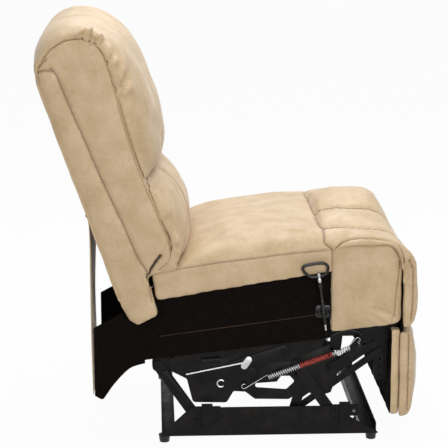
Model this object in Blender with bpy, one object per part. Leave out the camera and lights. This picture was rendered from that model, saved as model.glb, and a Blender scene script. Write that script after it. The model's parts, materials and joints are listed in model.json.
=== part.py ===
"""Armless wall-hugger recliner: steel base and swing-link mechanism, seat, back and footrest.

Frame: metres, +X forward (the way a sitter faces), +Y to the sitter's left, +Z up, floor at Z = 0.
The seat carriage swings forward on four parallel links, the back leans on a hinge beside the seat
box, and the footrest turns up on a parallelogram of cranks and bars.
"""

from math import cos, pi, radians, sin, tan

import bmesh
import bpy
from mathutils import Matrix, Vector

# Shared clearances and sheet sizes
FACE_GAP = 0.0003
PIVOT_GAP = 0.0004
LAYER_GAP = 0.0012
PLATE = 0.004
PIN_RADIUS = 0.005
HEAD_RADIUS = 0.008
HEAD_HEIGHT = 0.0008
PIN_SIDES = 12

# Base: two side rails, two cross rails, four feet
REAR_PIVOT_X = -0.090
BASE_WIDTH = 0.506
RAIL_HEIGHT = 0.070
RAIL_GAUGE = 0.003
RAIL_TOP_LENGTH = 0.330
RAIL_TOP_BEHIND_PIVOT = 0.006
RAIL_REAR_SLOPE = 0.072
RAIL_FRONT_SLOPE = 0.115
FOOT_HEIGHT = 0.017
FOOT_RADIUS = 0.014
FOOT_TAPER = 0.0025
FOOT_OUTSET = 0.009
CROSS_RAIL_HEIGHT = 0.026
CROSS_RAIL_GAUGE = 0.003
REAR_CROSS_DEPTH = 0.031
FRONT_CROSS_DEPTH = 0.039
CROSS_RAIL_INSET = 0.004
BRACKET_WIDTH = 0.026
BRACKET_EAR = 0.020
BRACKET_HEIGHT = 0.058
BRACKET_STAND_OFF = 0.005
BRACKET_GAUGE = 0.0025
BRACKET_ABOVE_RAIL = 0.010
BRACKET_HOLE_RADIUS = 0.004

# Swing links that carry the seat
SWING_PIVOT_HEIGHT = 0.074
SWING_LINK_LENGTH = 0.141
SWING_LEAN = 34.6
FRONT_PIVOT_PAST_RAIL_TOP = 0.001
LINK_WIDTH = 0.026

# Seat box, measured from the rear upper swing pivot
DECK_RISE = 0.1643
SEAT_PITCH = 9.0
SEAT_REAR = 0.010
SEAT_DEPTH = 0.391
SEAT_BEYOND_RAIL = 0.017
BAND_REAR = 0.070
BAND_FRONT = 0.052
SEAT_CROWN = 0.052
PANEL_THICKNESS = 0.012
PANEL_REAR = -0.068
PANEL_HEIGHT_REAR = 0.140
PANEL_HEIGHT_FRONT = 0.163
PANEL_EAR_LENGTH = 0.068
PANEL_EAR_RISE = 0.029
SEAT_RAIL_DEPTH = 0.018
SEAT_RAIL_HEIGHT = 0.055
SPRING_WIRE_RADIUS = 0.002
SPRING_WAVES = 7
SPRING_SWAY = 0.022
SPRING_SPACING = 0.220

# Front box below the chaise pad
BOX_GAP = 0.005
BOX_DEPTH = 0.159
BOX_TOP_RISE = 0.265
BOX_DROP_REAR = 0.183
BOX_DROP_FRONT = 0.163
BOX_WALL = 0.018
BOX_SIDE_WALL = 0.020
CHAISE_BEYOND_SEAT = 0.013
CHAISE_EDGE_HEIGHT = 0.037
CHAISE_CROWN = 0.051
CHAISE_OVERHANG = 0.018
CHAISE_CHANNEL_AT = 0.100
CHANNEL_DEPTH = 0.006
CHANNEL_HALF_WIDTH = 0.014

# Carriage plates, cranks and bars of the footrest lift
TUBE_RADIUS = 0.009
CRANK_BEHIND_SEAT_FRONT = 0.0175
CRANK_PIVOT_RISE = 0.110
CRANK_WIDTH = 0.024
BAR_WIDTH = 0.016
BAR_SPACING = 0.035
OTTOMAN_PIN_BACK = 0.056
OTTOMAN_PIN_DROP = 0.197
TORQUE_TUBE_ALONG = 0.085

# Footrest, measured from its hinge line at the front of the box
FOOT_HINGE_AHEAD = 0.023
FOOT_HINGE_DROP = 0.008
FOOTREST_PANEL = 0.006
FOOTREST_PANEL_TOP = 0.004
FOOTREST_PANEL_LENGTH = 0.363
PAD_BEYOND_PANEL = 0.015
FOOTREST_SEAT_GAP = 0.0008
PAD_BEYOND_SEAT = 0.007
LEGREST_TOP = 0.005
LEGREST_LENGTH = 0.157
LEGREST_THICKNESS = 0.030
OTTOMAN_TOP = 0.170
OTTOMAN_LENGTH = 0.210
OTTOMAN_PAD_THICKNESS = 0.030
PAD_CROWN = 0.0105
OTTOMAN_BOARD = 0.0235
PAD_BEYOND_BOARD = 0.007
OTTOMAN_BRACKET_LENGTH = 0.130
OTTOMAN_BRACKET_WEB = 0.032
OTTOMAN_BRACKET_FLANGE = 0.030
OTTOMAN_BRACKET_TOP = 0.175
OTTOMAN_HOLE_RADIUS = 0.0035
OTTOMAN_HOLES = 3

# Back, in its own raked frame: forward and up from the recline hinge
BACK_HINGE_BEHIND = 0.035
BACK_HINGE_RISE = 0.155
BACK_RAKE = 19.3
BACK_HEIGHT = 0.635
LEG_WIDTH = 0.0245
BACK_REAR_FACE = 0.047
BACK_NOTCH_TOP = 0.085
BACK_EDGE_ROUND = 0.014
BACK_EDGE_SHARE = 0.6
BACK_HINGE_PIN_RADIUS = 0.006
BACK_BRACKET = 0.0027
BACK_BRACKET_RADIUS = 0.022
BACK_BRACKET_REACH = 0.055
BACK_BOARD = 0.0174
BACK_BEYOND_BOARD = 0.050
BACK_BOARD_FROM = 0.120
BACK_BOARD_TO = 0.520
BACK_BEYOND_PILLOW = 0.004
PILLOW_SEAM_GAP = 0.0007
PILLOW_EDGE_SHARE = 0.70
PILLOW_CHANNEL_AT = 0.170
PILLOW_CHANNEL_SHARE = 0.07

# Loose cloth behind the seat
CLOTH = 0.0010
BACK_BEYOND_FLAP = 0.035
FLAP_GRIP_FROM = 0.2125
FLAP_GRIP_TO = 0.240
FLAP_HEM_DROP = 0.074
FLAP_BOTTOM_BEHIND = 0.146
FLAP_FOLD = 0.004
FLAP_FOLDS = 5
GUSSET_FOLD = 0.004

# Cable release on the right side
RING_WIDTH = 0.060
RING_HEIGHT = 0.033
RING_WIRE_RADIUS = 0.0035
FERRULE_RADIUS = 0.004
FERRULE_LENGTH = 0.018
SHEATH_RADIUS = 0.003
SHEATH_BORE = 0.0018
SHEATH_LENGTH = 0.105
CABLE_RADIUS = 0.0012
CABLE_LENGTH = 0.214
CABLE_STAND_OFF = 0.011
CABLE_LEAN = (-0.031, -0.011, 0.220)
CLAMP_LENGTH = 0.038
CLAMP_HEIGHT = 0.030
LEVER_AHEAD_OF_SEAT = 0.044
LEVER_PIVOT_RISE = 0.005
LEVER_CABLE_ARM = (-0.042, -0.015)
LEVER_SPRING_ARM = (0.021, 0.055)
STUD_RADIUS = 0.003
STUD_STAND_OFF = 0.008
RETURN_SPRING_WIRE = 0.0010
RETURN_SPRING_RADIUS = 0.0055
RETURN_SPRING_COILS = 24
RETURN_SPRING_LEAD = 0.030
SPRING_ANCHOR_AHEAD = 0.200
SPRING_ANCHOR_DROP = 0.050

# Worked-out places in the side view, as (x, z)
RAIL_BOTTOM = FOOT_HEIGHT + FACE_GAP
RAIL_TOP = RAIL_BOTTOM + RAIL_HEIGHT
REAR_BASE = Vector((REAR_PIVOT_X, SWING_PIVOT_HEIGHT))
SWING_SPACING = RAIL_TOP_LENGTH - RAIL_TOP_BEHIND_PIVOT + FRONT_PIVOT_PAST_RAIL_TOP
FRONT_BASE = REAR_BASE + Vector((SWING_SPACING, 0))
SWING_OFFSET = Vector((-sin(radians(SWING_LEAN)), cos(radians(SWING_LEAN)))) * SWING_LINK_LENGTH
REAR_TOP = REAR_BASE + SWING_OFFSET
FRONT_TOP = FRONT_BASE + SWING_OFFSET
BACK_HINGE = REAR_TOP + Vector((-BACK_HINGE_BEHIND, BACK_HINGE_RISE))
SEAT_FRONT = SEAT_REAR + SEAT_DEPTH
BOX_REAR = SEAT_FRONT + BOX_GAP
BOX_FRONT = BOX_REAR + BOX_DEPTH
FOOT_HINGE = REAR_TOP + Vector((BOX_FRONT + FOOT_HINGE_AHEAD, BOX_TOP_RISE - FOOT_HINGE_DROP))
CRANK_PIVOT = REAR_TOP + Vector((SEAT_FRONT - CRANK_BEHIND_SEAT_FRONT, CRANK_PIVOT_RISE))
CRANK_ARM = Vector((-OTTOMAN_PIN_BACK, -OTTOMAN_PIN_DROP))
UPPER_BAR_LOW = CRANK_PIVOT + CRANK_ARM
UPPER_BAR_HIGH = FOOT_HINGE + CRANK_ARM
BAR_STEP = CRANK_ARM.normalized() * BAR_SPACING
LEVER_PIVOT = REAR_TOP + Vector((SEAT_FRONT + LEVER_AHEAD_OF_SEAT, LEVER_PIVOT_RISE))
LEVER_CABLE_STUD = LEVER_PIVOT + Vector(LEVER_CABLE_ARM)
LEVER_SPRING_STUD = LEVER_PIVOT + Vector(LEVER_SPRING_ARM)
SPRING_ANCHOR = REAR_TOP + Vector((SPRING_ANCHOR_AHEAD, -SPRING_ANCHOR_DROP))

# Layers of the mechanism, as distances out from the middle plane to each plate's outer face
RAIL_OUTER = BASE_WIDTH / 2
RAIL_INNER = RAIL_OUTER - RAIL_GAUGE
LINK_OUTER = RAIL_INNER - LAYER_GAP - FACE_GAP
CARRIAGE_OUTER = LINK_OUTER - PLATE - LAYER_GAP
CRANK_OUTER = CARRIAGE_OUTER - PLATE - LAYER_GAP
BAR_OUTER = CRANK_OUTER - PLATE - LAYER_GAP
OTTOMAN_WEB_OUTER = BAR_OUTER - PLATE - LAYER_GAP
PANEL_INNER = CARRIAGE_OUTER + FACE_GAP
PANEL_OUTER = PANEL_INNER + PANEL_THICKNESS
GUSSET_INNER = PANEL_OUTER + FACE_GAP
BACK_BRACKET_INNER = GUSSET_INNER + CLOTH + 2 * FACE_GAP
LEG_INNER = BACK_BRACKET_INNER + BACK_BRACKET + FACE_GAP
BACK_HALF_WIDTH = LEG_INNER + LEG_WIDTH
PILLOW_HALF_WIDTH = BACK_HALF_WIDTH - BACK_BEYOND_PILLOW
BACK_BOARD_HALF_WIDTH = BACK_HALF_WIDTH - BACK_BEYOND_BOARD
FLAP_HALF_WIDTH = BACK_HALF_WIDTH - BACK_BEYOND_FLAP
SEAT_HALF_WIDTH = RAIL_OUTER + SEAT_BEYOND_RAIL
CHAISE_HALF_WIDTH = SEAT_HALF_WIDTH + CHAISE_BEYOND_SEAT
PAD_HALF_WIDTH = SEAT_HALF_WIDTH + PAD_BEYOND_SEAT
FOOTREST_PANEL_HALF_WIDTH = PAD_HALF_WIDTH - PAD_BEYOND_PANEL
OTTOMAN_BOARD_HALF_WIDTH = PAD_HALF_WIDTH - PAD_BEYOND_BOARD
BOX_SIDE_INNER = SEAT_HALF_WIDTH - BOX_SIDE_WALL
SPRING_STUD_OUTER = PANEL_OUTER + STUD_STAND_OFF
SPRING_INNER = LINK_OUTER + PIVOT_GAP + HEAD_HEIGHT + LAYER_GAP
SPRING_MIDDLE = SPRING_INNER + RETURN_SPRING_WIRE + RETURN_SPRING_RADIUS

SIDES = (("right", -1), ("left", 1))


def clear_scene():
    for old in list(bpy.data.objects):
        bpy.data.objects.remove(old, do_unlink=True)


def make_collection(name):
    group = bpy.data.collections.new(name)
    bpy.context.scene.collection.children.link(group)
    return group


def make_material(name, colour, roughness, metallic=0.0):
    material = bpy.data.materials.new(name)
    material.use_nodes = True
    shader = material.node_tree.nodes["Principled BSDF"]
    shader.inputs["Base Color"].default_value = (*colour, 1.0)
    shader.inputs["Roughness"].default_value = roughness
    shader.inputs["Metallic"].default_value = metallic
    return material


def mesh_object(name, bm):
    """Closes off a bmesh as an object with its faces pointing out."""
    bmesh.ops.recalc_face_normals(bm, faces=bm.faces)
    mesh = bpy.data.meshes.new(name)
    bm.to_mesh(mesh)
    bm.free()
    shape = bpy.data.objects.new(name, mesh)
    PARTS.objects.link(shape)
    return shape


def curve_to_mesh(shape):
    """Turns a curve object into a welded mesh object in world space."""
    bpy.context.view_layer.update()
    evaluated = shape.evaluated_get(bpy.context.evaluated_depsgraph_get())
    mesh = bpy.data.meshes.new_from_object(evaluated)
    mesh.transform(shape.matrix_world)
    bm = bmesh.new()
    bm.from_mesh(mesh)
    bmesh.ops.remove_doubles(bm, verts=bm.verts, dist=0.00001)
    name = shape.name
    bpy.data.objects.remove(shape, do_unlink=True)
    bpy.data.meshes.remove(mesh)
    return mesh_object(name, bm)


def combine(target, tool, operation):
    """Applies one Boolean of a tool object to a target object and removes the tool."""
    modifier = target.modifiers.new(operation, "BOOLEAN")
    modifier.operation = operation
    modifier.object = tool
    bpy.context.view_layer.update()
    evaluated = target.evaluated_get(bpy.context.evaluated_depsgraph_get())
    result = bpy.data.meshes.new_from_object(evaluated)
    target.modifiers.clear()
    old = target.data
    target.data = result
    bpy.data.meshes.remove(old)
    bpy.data.objects.remove(tool, do_unlink=True)
    return target


def union(target, *others):
    for other in others:
        combine(target, other, "UNION")
    return target


def cut(target, *others):
    for other in others:
        combine(target, other, "DIFFERENCE")
    return target


def box(name, low, high):
    bm = bmesh.new()
    size = Vector(high) - Vector(low)
    middle = (Vector(high) + Vector(low)) / 2
    bmesh.ops.create_cube(bm, size=1.0, matrix=Matrix.Translation(middle) @ Matrix.Diagonal((*size, 1)))
    return mesh_object(name, bm)


def cylinder(name, start, end, radius, end_radius=None, sides=PIN_SIDES):
    """A solid round bar between two points in space."""
    start, end = Vector(start), Vector(end)
    turn = (end - start).to_track_quat("Z", "Y").to_matrix().to_4x4()
    bm = bmesh.new()
    bmesh.ops.create_cone(
        bm,
        cap_ends=True,
        segments=sides,
        radius1=radius,
        radius2=radius if end_radius is None else end_radius,
        depth=(end - start).length,
        matrix=Matrix.Translation((start + end) / 2) @ turn,
    )
    return mesh_object(name, bm)


def pin(place, inner, outer, side, radius=PIN_RADIUS):
    """A round pin across the layers from one distance to another, on one side of the chair."""
    x, z = place
    return cylinder("pin", (x, side * inner, z), (x, side * outer, z), radius)


def tube(name, points, radius, detail, closed=False):
    curve = bpy.data.curves.new(name, "CURVE")
    curve.dimensions = "3D"
    curve.bevel_depth = radius
    curve.bevel_resolution = detail
    curve.use_fill_caps = not closed
    spline = curve.splines.new("POLY")
    spline.points.add(len(points) - 1)
    for point, place in zip(spline.points, points):
        point.co = (*place, 1.0)
    spline.use_cyclic_u = closed
    shape = bpy.data.objects.new(name, curve)
    PARTS.objects.link(shape)
    return curve_to_mesh(shape)


def plate(name, outer_face, thickness, side, outline, holes=()):
    """A flat plate standing in the side plane, its outer face at a distance from the middle."""
    curve = bpy.data.curves.new(name, "CURVE")
    curve.dimensions = "2D"
    curve.fill_mode = "BOTH"
    curve.extrude = thickness / 2
    for loop in (outline, *holes):
        spline = curve.splines.new("POLY")
        spline.points.add(len(loop) - 1)
        for point, (x, z) in zip(spline.points, loop):
            point.co = (x, z, 0, 1)
        spline.use_cyclic_u = True
    shape = bpy.data.objects.new(name, curve)
    PARTS.objects.link(shape)
    shape.location.y = side * (outer_face - thickness / 2)
    shape.rotation_euler.x = pi / 2
    return curve_to_mesh(shape)


def circle(centre, radius, sides=PIN_SIDES):
    x, z = centre
    return [
        (x + radius * cos(2 * pi * i / sides), z + radius * sin(2 * pi * i / sides))
        for i in range(sides)
    ]


def hole(centre, radius=PIN_RADIUS + PIVOT_GAP):
    return circle(centre, radius)


def round_bar(start, end, width, steps=6):
    """The outline of a flat bar with round ends, centred on two pivots."""
    along = (end - start).normalized() * width / 2
    across = Vector((-along.y, along.x))
    outline = []
    for centre, first, second in ((end, -across, along), (start, across, -along)):
        for i in range(steps + 1):
            turn = pi * i / steps
            outline.append(centre + first * cos(turn) + second * sin(turn))
    return outline


def rounded(corners, steps=3):
    """An outline from (x, z, radius) corners, each drawn round by a short curve."""
    outline = []
    for i, (x, z, radius) in enumerate(corners):
        corner = Vector((x, z))
        before = Vector(corners[i - 1][:2]) - corner
        after = Vector(corners[(i + 1) % len(corners)][:2]) - corner
        if radius == 0:
            outline.append(corner)
            continue
        reach = radius / tan(before.angle(after) / 2)
        start = corner + before.normalized() * min(reach, before.length * 0.48)
        end = corner + after.normalized() * min(reach, after.length * 0.48)
        for k in range(steps + 1):
            t = k / steps
            outline.append(start * (1 - t) ** 2 + corner * 2 * t * (1 - t) + end * t * t)
    return outline


def loft(name, rings):
    """A closed skin over rings of equal length, capped at both ends."""
    bm = bmesh.new()
    rows = [[bm.verts.new(point) for point in ring] for ring in rings]
    for near, far in zip(rows, rows[1:]):
        for i in range(len(near)):
            j = (i + 1) % len(near)
            bm.faces.new((near[i], near[j], far[j], far[i]))
    bm.faces.new(rows[0])
    bm.faces.new(rows[-1])
    return mesh_object(name, bm)


def ease(value, start, end):
    t = min(max((value - start) / (end - start), 0.0), 1.0)
    return t * t * (3 - 2 * t)


def stations(half_width, channel=None):
    """Cross-section places over a cushion's width, closer at its sides and at its channels."""
    shares = (1.0, 0.985, 0.945, 0.87, 0.72, 0.45)
    places = [half_width * share for share in shares]
    if channel is not None:
        places = [y for y in places if abs(y - channel) > 2 * CHANNEL_HALF_WIDTH]
        places += [channel - CHANNEL_HALF_WIDTH, channel, channel + CHANNEL_HALF_WIDTH]
    places.sort(reverse=True)
    return [-y for y in places] + [0.0] + places[::-1]


def crown_share(y, half_width):
    return 1 - abs(y / half_width) ** 3


def channel_share(y, channel):
    return max(0.0, 1 - abs(abs(y) - channel) / CHANNEL_HALF_WIDTH)


def seat_place(ahead, rise):
    """A place on the seat carriage, from its rear swing pivot."""
    return REAR_TOP + Vector((ahead, rise))


def deck(ahead):
    """Height of the seat deck line over the rear swing pivot."""
    return DECK_RISE + ahead * tan(radians(SEAT_PITCH))


def raked(forward, up):
    """A place on the back, from the recline hinge, in world side view."""
    turn = radians(BACK_RAKE)
    return BACK_HINGE + Vector((forward * cos(turn) - up * sin(turn), forward * sin(turn) + up * cos(turn)))


def spread(places, y):
    return [Vector((x, y, z)) for x, z in places]


def body(name, place, parent=None):
    """An empty on a joint's axis, which carries the pieces of one moving body."""
    pivot = bpy.data.objects.new(name, None)
    PARTS.objects.link(pivot)
    x, z = place
    pivot["axis_place"] = (x, 0.0, z)
    origin = Vector((x, 0.0, z))
    if parent is not None:
        pivot.parent = parent
        origin = origin - Vector(parent["axis_place"])
    pivot.location = origin
    return pivot


def fit(name, shape, carrier, material, smooth=False):
    """Names a finished piece, gives it its material and hangs it on its body's axis."""
    shape.name = name
    shape.data.name = name
    shape.data.materials.clear()
    shape.data.materials.append(material)
    shape.data.transform(Matrix.Translation(-Vector(carrier["axis_place"])))
    shape.parent = carrier
    if smooth:
        shape.data.shade_smooth()
        shape.data.set_sharp_from_angle(angle=radians(40))
    return shape


def build_base():
    rear = REAR_PIVOT_X - RAIL_TOP_BEHIND_PIVOT
    front = rear + RAIL_TOP_LENGTH
    toe_rear = rear - RAIL_REAR_SLOPE
    toe_front = front + RAIL_FRONT_SLOPE
    outline = [
        (toe_rear, RAIL_BOTTOM),
        (toe_front, RAIL_BOTTOM),
        (toe_front, RAIL_BOTTOM + RAIL_GAUGE),
        (front, RAIL_TOP),
        (rear, RAIL_TOP),
        (toe_rear, RAIL_BOTTOM + RAIL_GAUGE),
    ]
    head_inner = LINK_OUTER - PLATE - PIVOT_GAP - HEAD_HEIGHT
    for word, side in SIDES:
        rail = plate("rail", RAIL_OUTER, RAIL_GAUGE, side, outline)
        for pivot in (REAR_BASE, FRONT_BASE):
            shank = pin(pivot, head_inner, RAIL_INNER + RAIL_GAUGE / 2, side)
            head = pin(pivot, head_inner, head_inner + HEAD_HEIGHT, side, HEAD_RADIUS)
            union(rail, union(shank, head))
        fit(f"side_rail_{word}", rail, BASE, BLACK_STEEL)

    cross = (
        ("rear", toe_rear + CROSS_RAIL_INSET, REAR_CROSS_DEPTH, -FOOT_OUTSET),
        ("front", toe_front - CROSS_RAIL_INSET - FRONT_CROSS_DEPTH, FRONT_CROSS_DEPTH, FOOT_OUTSET),
    )
    half = RAIL_INNER - FACE_GAP
    for word, start, depth, shift in cross:
        top = RAIL_BOTTOM + CROSS_RAIL_HEIGHT
        inside = RAIL_BOTTOM + CROSS_RAIL_GAUGE
        channel = [
            (start, RAIL_BOTTOM),
            (start + depth, RAIL_BOTTOM),
            (start + depth, top),
            (start + depth - CROSS_RAIL_GAUGE, top),
            (start + depth - CROSS_RAIL_GAUGE, inside),
            (start + CROSS_RAIL_GAUGE, inside),
            (start + CROSS_RAIL_GAUGE, top),
            (start, top),
        ]
        fit(f"cross_rail_{word}", plate("cross", half, 2 * half, 1, channel), BASE, BLACK_STEEL)
        for side_word, side in SIDES:
            x = start + depth / 2 + shift
            y = side * (half - FOOT_RADIUS)
            foot = cylinder("foot", (x, y, FOOT_HEIGHT), (x, y, 0), FOOT_RADIUS, FOOT_RADIUS - FOOT_TAPER, 20)
            fit(f"foot_{word}_{side_word}", foot, BASE, BLACK_PLASTIC, smooth=True)


def build_rail_brackets():
    """Hat-shaped brackets on the outside of the rails, each with two drilled ears."""
    inner = RAIL_OUTER + FACE_GAP
    top = RAIL_TOP + BRACKET_ABOVE_RAIL
    low = top - BRACKET_HEIGHT
    ear_low = top - BRACKET_HEIGHT * 0.6
    reach = BRACKET_WIDTH / 2 + BRACKET_EAR
    for end, pivot in (("rear", REAR_BASE), ("front", FRONT_BASE)):
        middle = pivot.x + BRACKET_WIDTH / 2 + BRACKET_EAR
        ears = rounded(
            [
                (middle - reach, ear_low, 0.005),
                (middle + reach, ear_low, 0.005),
                (middle + reach, top - 0.006, 0.005),
                (middle - reach, top - 0.006, 0.005),
            ]
        )
        drilled = [
            circle((middle + way * (reach - BRACKET_EAR / 2), ear_low + 0.012), BRACKET_HOLE_RADIUS, 8)
            for way in (-1, 1)
        ]
        for word, side in SIDES:
            bracket = plate("bracket", inner + BRACKET_GAUGE, BRACKET_GAUGE, side, ears, drilled)
            hat = box(
                "hat",
                (middle - BRACKET_WIDTH / 2, side * inner, low),
                (middle + BRACKET_WIDTH / 2, side * (inner + BRACKET_GAUGE + BRACKET_STAND_OFF), top),
            )
            fit(f"rail_bracket_{end}_{word}", union(bracket, hat), BASE, BLACK_STEEL)


def build_swing_links():
    pairs = (("rear", REAR_BASE, REAR_TOP, REAR_LINKS), ("front", FRONT_BASE, FRONT_TOP, FRONT_LINKS))
    for end, low, high, carrier in pairs:
        for word, side in SIDES:
            outline = round_bar(low, high, LINK_WIDTH)
            link = plate("link", LINK_OUTER, PLATE, side, outline, (hole(low), hole(high)))
            fit(f"{end}_swing_link_{word}", link, carrier, BLACK_STEEL)


def rivet(place, from_outer, through_outer, side):
    """A pin with a head that passes outward from one plate through the next one out."""
    tip = through_outer + PIVOT_GAP / 2
    shank = pin(place, from_outer - PLATE / 2, tip + HEAD_HEIGHT, side)
    head = pin(place, tip, tip + HEAD_HEIGHT, side, HEAD_RADIUS)
    return union(shank, head)


def inward_rivet(place, from_outer, through_outer, side):
    """A pin with a head that passes inward from one plate through the next one in."""
    tip = through_outer - PLATE - PIVOT_GAP / 2
    shank = pin(place, tip - HEAD_HEIGHT, from_outer - PLATE / 2, side)
    head = pin(place, tip - HEAD_HEIGHT, tip, side, HEAD_RADIUS)
    return union(shank, head)


def carriage_outline():
    """Side plate: swing ears at both ends, a deep rear web, a cranked lower bar and the lever arm."""
    ear = LINK_WIDTH / 2 + 0.002
    c1, c2, q, pa, s1 = REAR_TOP, FRONT_TOP, LEVER_PIVOT, CRANK_PIVOT, SPRING_ANCHOR
    return rounded(
        [
            (c1.x - ear, c1.y - ear, 0.014),
            (c1.x + 0.030, c1.y - ear, 0.010),
            (c1.x + 0.066, c1.y - 0.034, 0.008),
            (c1.x + 0.080, c1.y - 0.092, 0.010),
            (c1.x + 0.160, c1.y - 0.094, 0.010),
            (s1.x - 0.024, s1.y - 0.016, 0.006),
            (s1.x + 0.004, s1.y - 0.018, 0.006),
            (s1.x + 0.026, s1.y - 0.036, 0.008),
            (c2.x - 0.018, c2.y - 0.088, 0.010),
            (c2.x + 0.016, c2.y - 0.064, 0.010),
            (c2.x + 0.026, c2.y - ear, 0.008),
            (q.x + 0.012, q.y - 0.012, 0.011),
            (q.x + 0.012, q.y + 0.012, 0.011),
            (c2.x + 0.052, q.y + 0.012, 0.012),
            (pa.x + 0.017, pa.y - 0.012, 0.012),
            (pa.x + 0.017, pa.y + 0.017, 0.014),
            (pa.x - 0.020, pa.y + 0.017, 0.012),
            (c1.x + 0.030, c1.y + 0.074, 0.010),
            (c1.x - ear, c1.y + ear, 0.014),
        ]
    )


def build_carriage():
    c2, s1 = FRONT_TOP, SPRING_ANCHOR
    window = rounded(
        [
            (s1.x + 0.026, s1.y - 0.008, 0.006),
            (c2.x - 0.024, c2.y - 0.064, 0.008),
            (c2.x - 0.004, c2.y - 0.044, 0.006),
            (c2.x - 0.026, c2.y - 0.020, 0.008),
            (s1.x + 0.032, s1.y + 0.020, 0.008),
        ]
    )
    slot = round_bar(REAR_TOP + Vector((0.105, -0.030)), REAR_TOP + Vector((0.140, -0.022)), 0.016, 4)
    for word, side in SIDES:
        web = plate("web", CARRIAGE_OUTER, PLATE, side, carriage_outline(), (window, slot))
        for pivot in (REAR_TOP, FRONT_TOP):
            union(web, rivet(pivot, CARRIAGE_OUTER, LINK_OUTER, side))
        union(web, inward_rivet(CRANK_PIVOT, CARRIAGE_OUTER, CRANK_OUTER, side))
        if side < 0:
            union(web, rivet(LEVER_PIVOT, CARRIAGE_OUTER, LINK_OUTER, side))
            union(web, pin(SPRING_ANCHOR, CARRIAGE_OUTER - PLATE / 2, SPRING_STUD_OUTER, side, STUD_RADIUS))
        fit(f"carriage_plate_{word}", web, CARRIAGE, BLACK_STEEL)

    half = CARRIAGE_OUTER - PLATE - FACE_GAP
    x, z = REAR_TOP + Vector((0.100, -0.062))
    cross = cylinder("cross", (x, -half, z), (x, half, z), TUBE_RADIUS, sides=16)
    fit("carriage_cross_tube", cross, CARRIAGE, BLACK_STEEL, smooth=True)


def build_seat_box():
    rear, front = PANEL_REAR, SEAT_FRONT + FACE_GAP
    ear_end = rear + PANEL_EAR_LENGTH
    slope = 0.006
    corners = [
        (rear, deck(rear) - PANEL_HEIGHT_REAR, 0.006),
        (front, deck(front) - PANEL_HEIGHT_FRONT, 0.004),
        (front, deck(front) - FACE_GAP, 0.003),
        (ear_end + slope, deck(ear_end + slope) - FACE_GAP, 0.0),
        (ear_end, deck(rear) + PANEL_EAR_RISE, 0.006),
        (rear, deck(rear) + PANEL_EAR_RISE, 0.010),
    ]
    outline = rounded([(REAR_TOP.x + x, REAR_TOP.y + z, r) for x, z, r in corners])
    hinge_hole = hole(BACK_HINGE, BACK_HINGE_PIN_RADIUS + PIVOT_GAP)
    for word, side in SIDES:
        panel = plate("panel", PANEL_OUTER, PANEL_THICKNESS, side, outline, (hinge_hole,))
        fit(f"seat_side_panel_{word}", panel, CARRIAGE, CAMBRIC)

    half = PANEL_INNER - FACE_GAP
    wire = 2 * SPRING_WIRE_RADIUS + 2 * FACE_GAP
    ends = {}
    for word, start in (("rear", PANEL_REAR + 0.004), ("front", SEAT_FRONT - SEAT_RAIL_DEPTH - 0.004)):
        corners = []
        for ahead, drop in ((start, 1), (start + SEAT_RAIL_DEPTH, 1), (start + SEAT_RAIL_DEPTH, 0), (start, 0)):
            corners.append(seat_place(ahead, deck(ahead) - wire - drop * SEAT_RAIL_HEIGHT))
        fit(f"seat_rail_{word}", plate("rail", half, 2 * half, 1, corners), CARRIAGE, WOOD)
        ends[word] = start + SEAT_RAIL_DEPTH / 2

    for number, y in enumerate((-SPRING_SPACING / 2, SPRING_SPACING / 2), 1):
        points = []
        halves = 2 * SPRING_WAVES
        for i in range(halves + 1):
            ahead = ends["rear"] + (ends["front"] - ends["rear"]) * i / halves
            sway = SPRING_SWAY * (-1) ** i if 0 < i < halves else 0.0
            step = 0.3 * (ends["front"] - ends["rear"]) / halves
            for shift in (-step, step) if sway else (0.0,):
                x, z = seat_place(ahead + shift, deck(ahead + shift) - FACE_GAP - SPRING_WIRE_RADIUS)
                points.append((x, y + sway, z))
        fit(f"seat_spring_{number}", tube("spring", points, SPRING_WIRE_RADIUS, 0), CARRIAGE, SPRING_STEEL)


def build_front_box():
    top = BOX_TOP_RISE
    corners = [
        (BOX_REAR, top - BOX_DROP_REAR, 0.004),
        (BOX_FRONT, top - BOX_DROP_FRONT, 0.022),
        (BOX_FRONT, top, 0.010),
        (BOX_REAR, top, 0.004),
    ]
    outline = rounded([(REAR_TOP.x + x, REAR_TOP.y + z, r) for x, z, r in corners], 5)
    for word, side in SIDES:
        panel = plate("panel", SEAT_HALF_WIDTH, BOX_SIDE_WALL, side, outline)
        fit(f"front_side_panel_{word}", panel, CARRIAGE, LEATHER)

    half = BOX_SIDE_INNER - FACE_GAP
    low = seat_place(BOX_FRONT - BOX_WALL, top - BOX_DROP_FRONT + 0.002)
    high = seat_place(BOX_FRONT, top - 0.006)
    fit("front_panel", box("panel", (low.x, -half, low.y), (high.x, half, high.y)), CARRIAGE, LEATHER)
    low = seat_place(BOX_REAR + 0.004, top - BOX_WALL)
    high = seat_place(BOX_FRONT - BOX_WALL - FACE_GAP, top)
    fit("front_deck", box("deck", (low.x, -half, low.y), (high.x, half, high.y)), CARRIAGE, WOOD)


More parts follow.
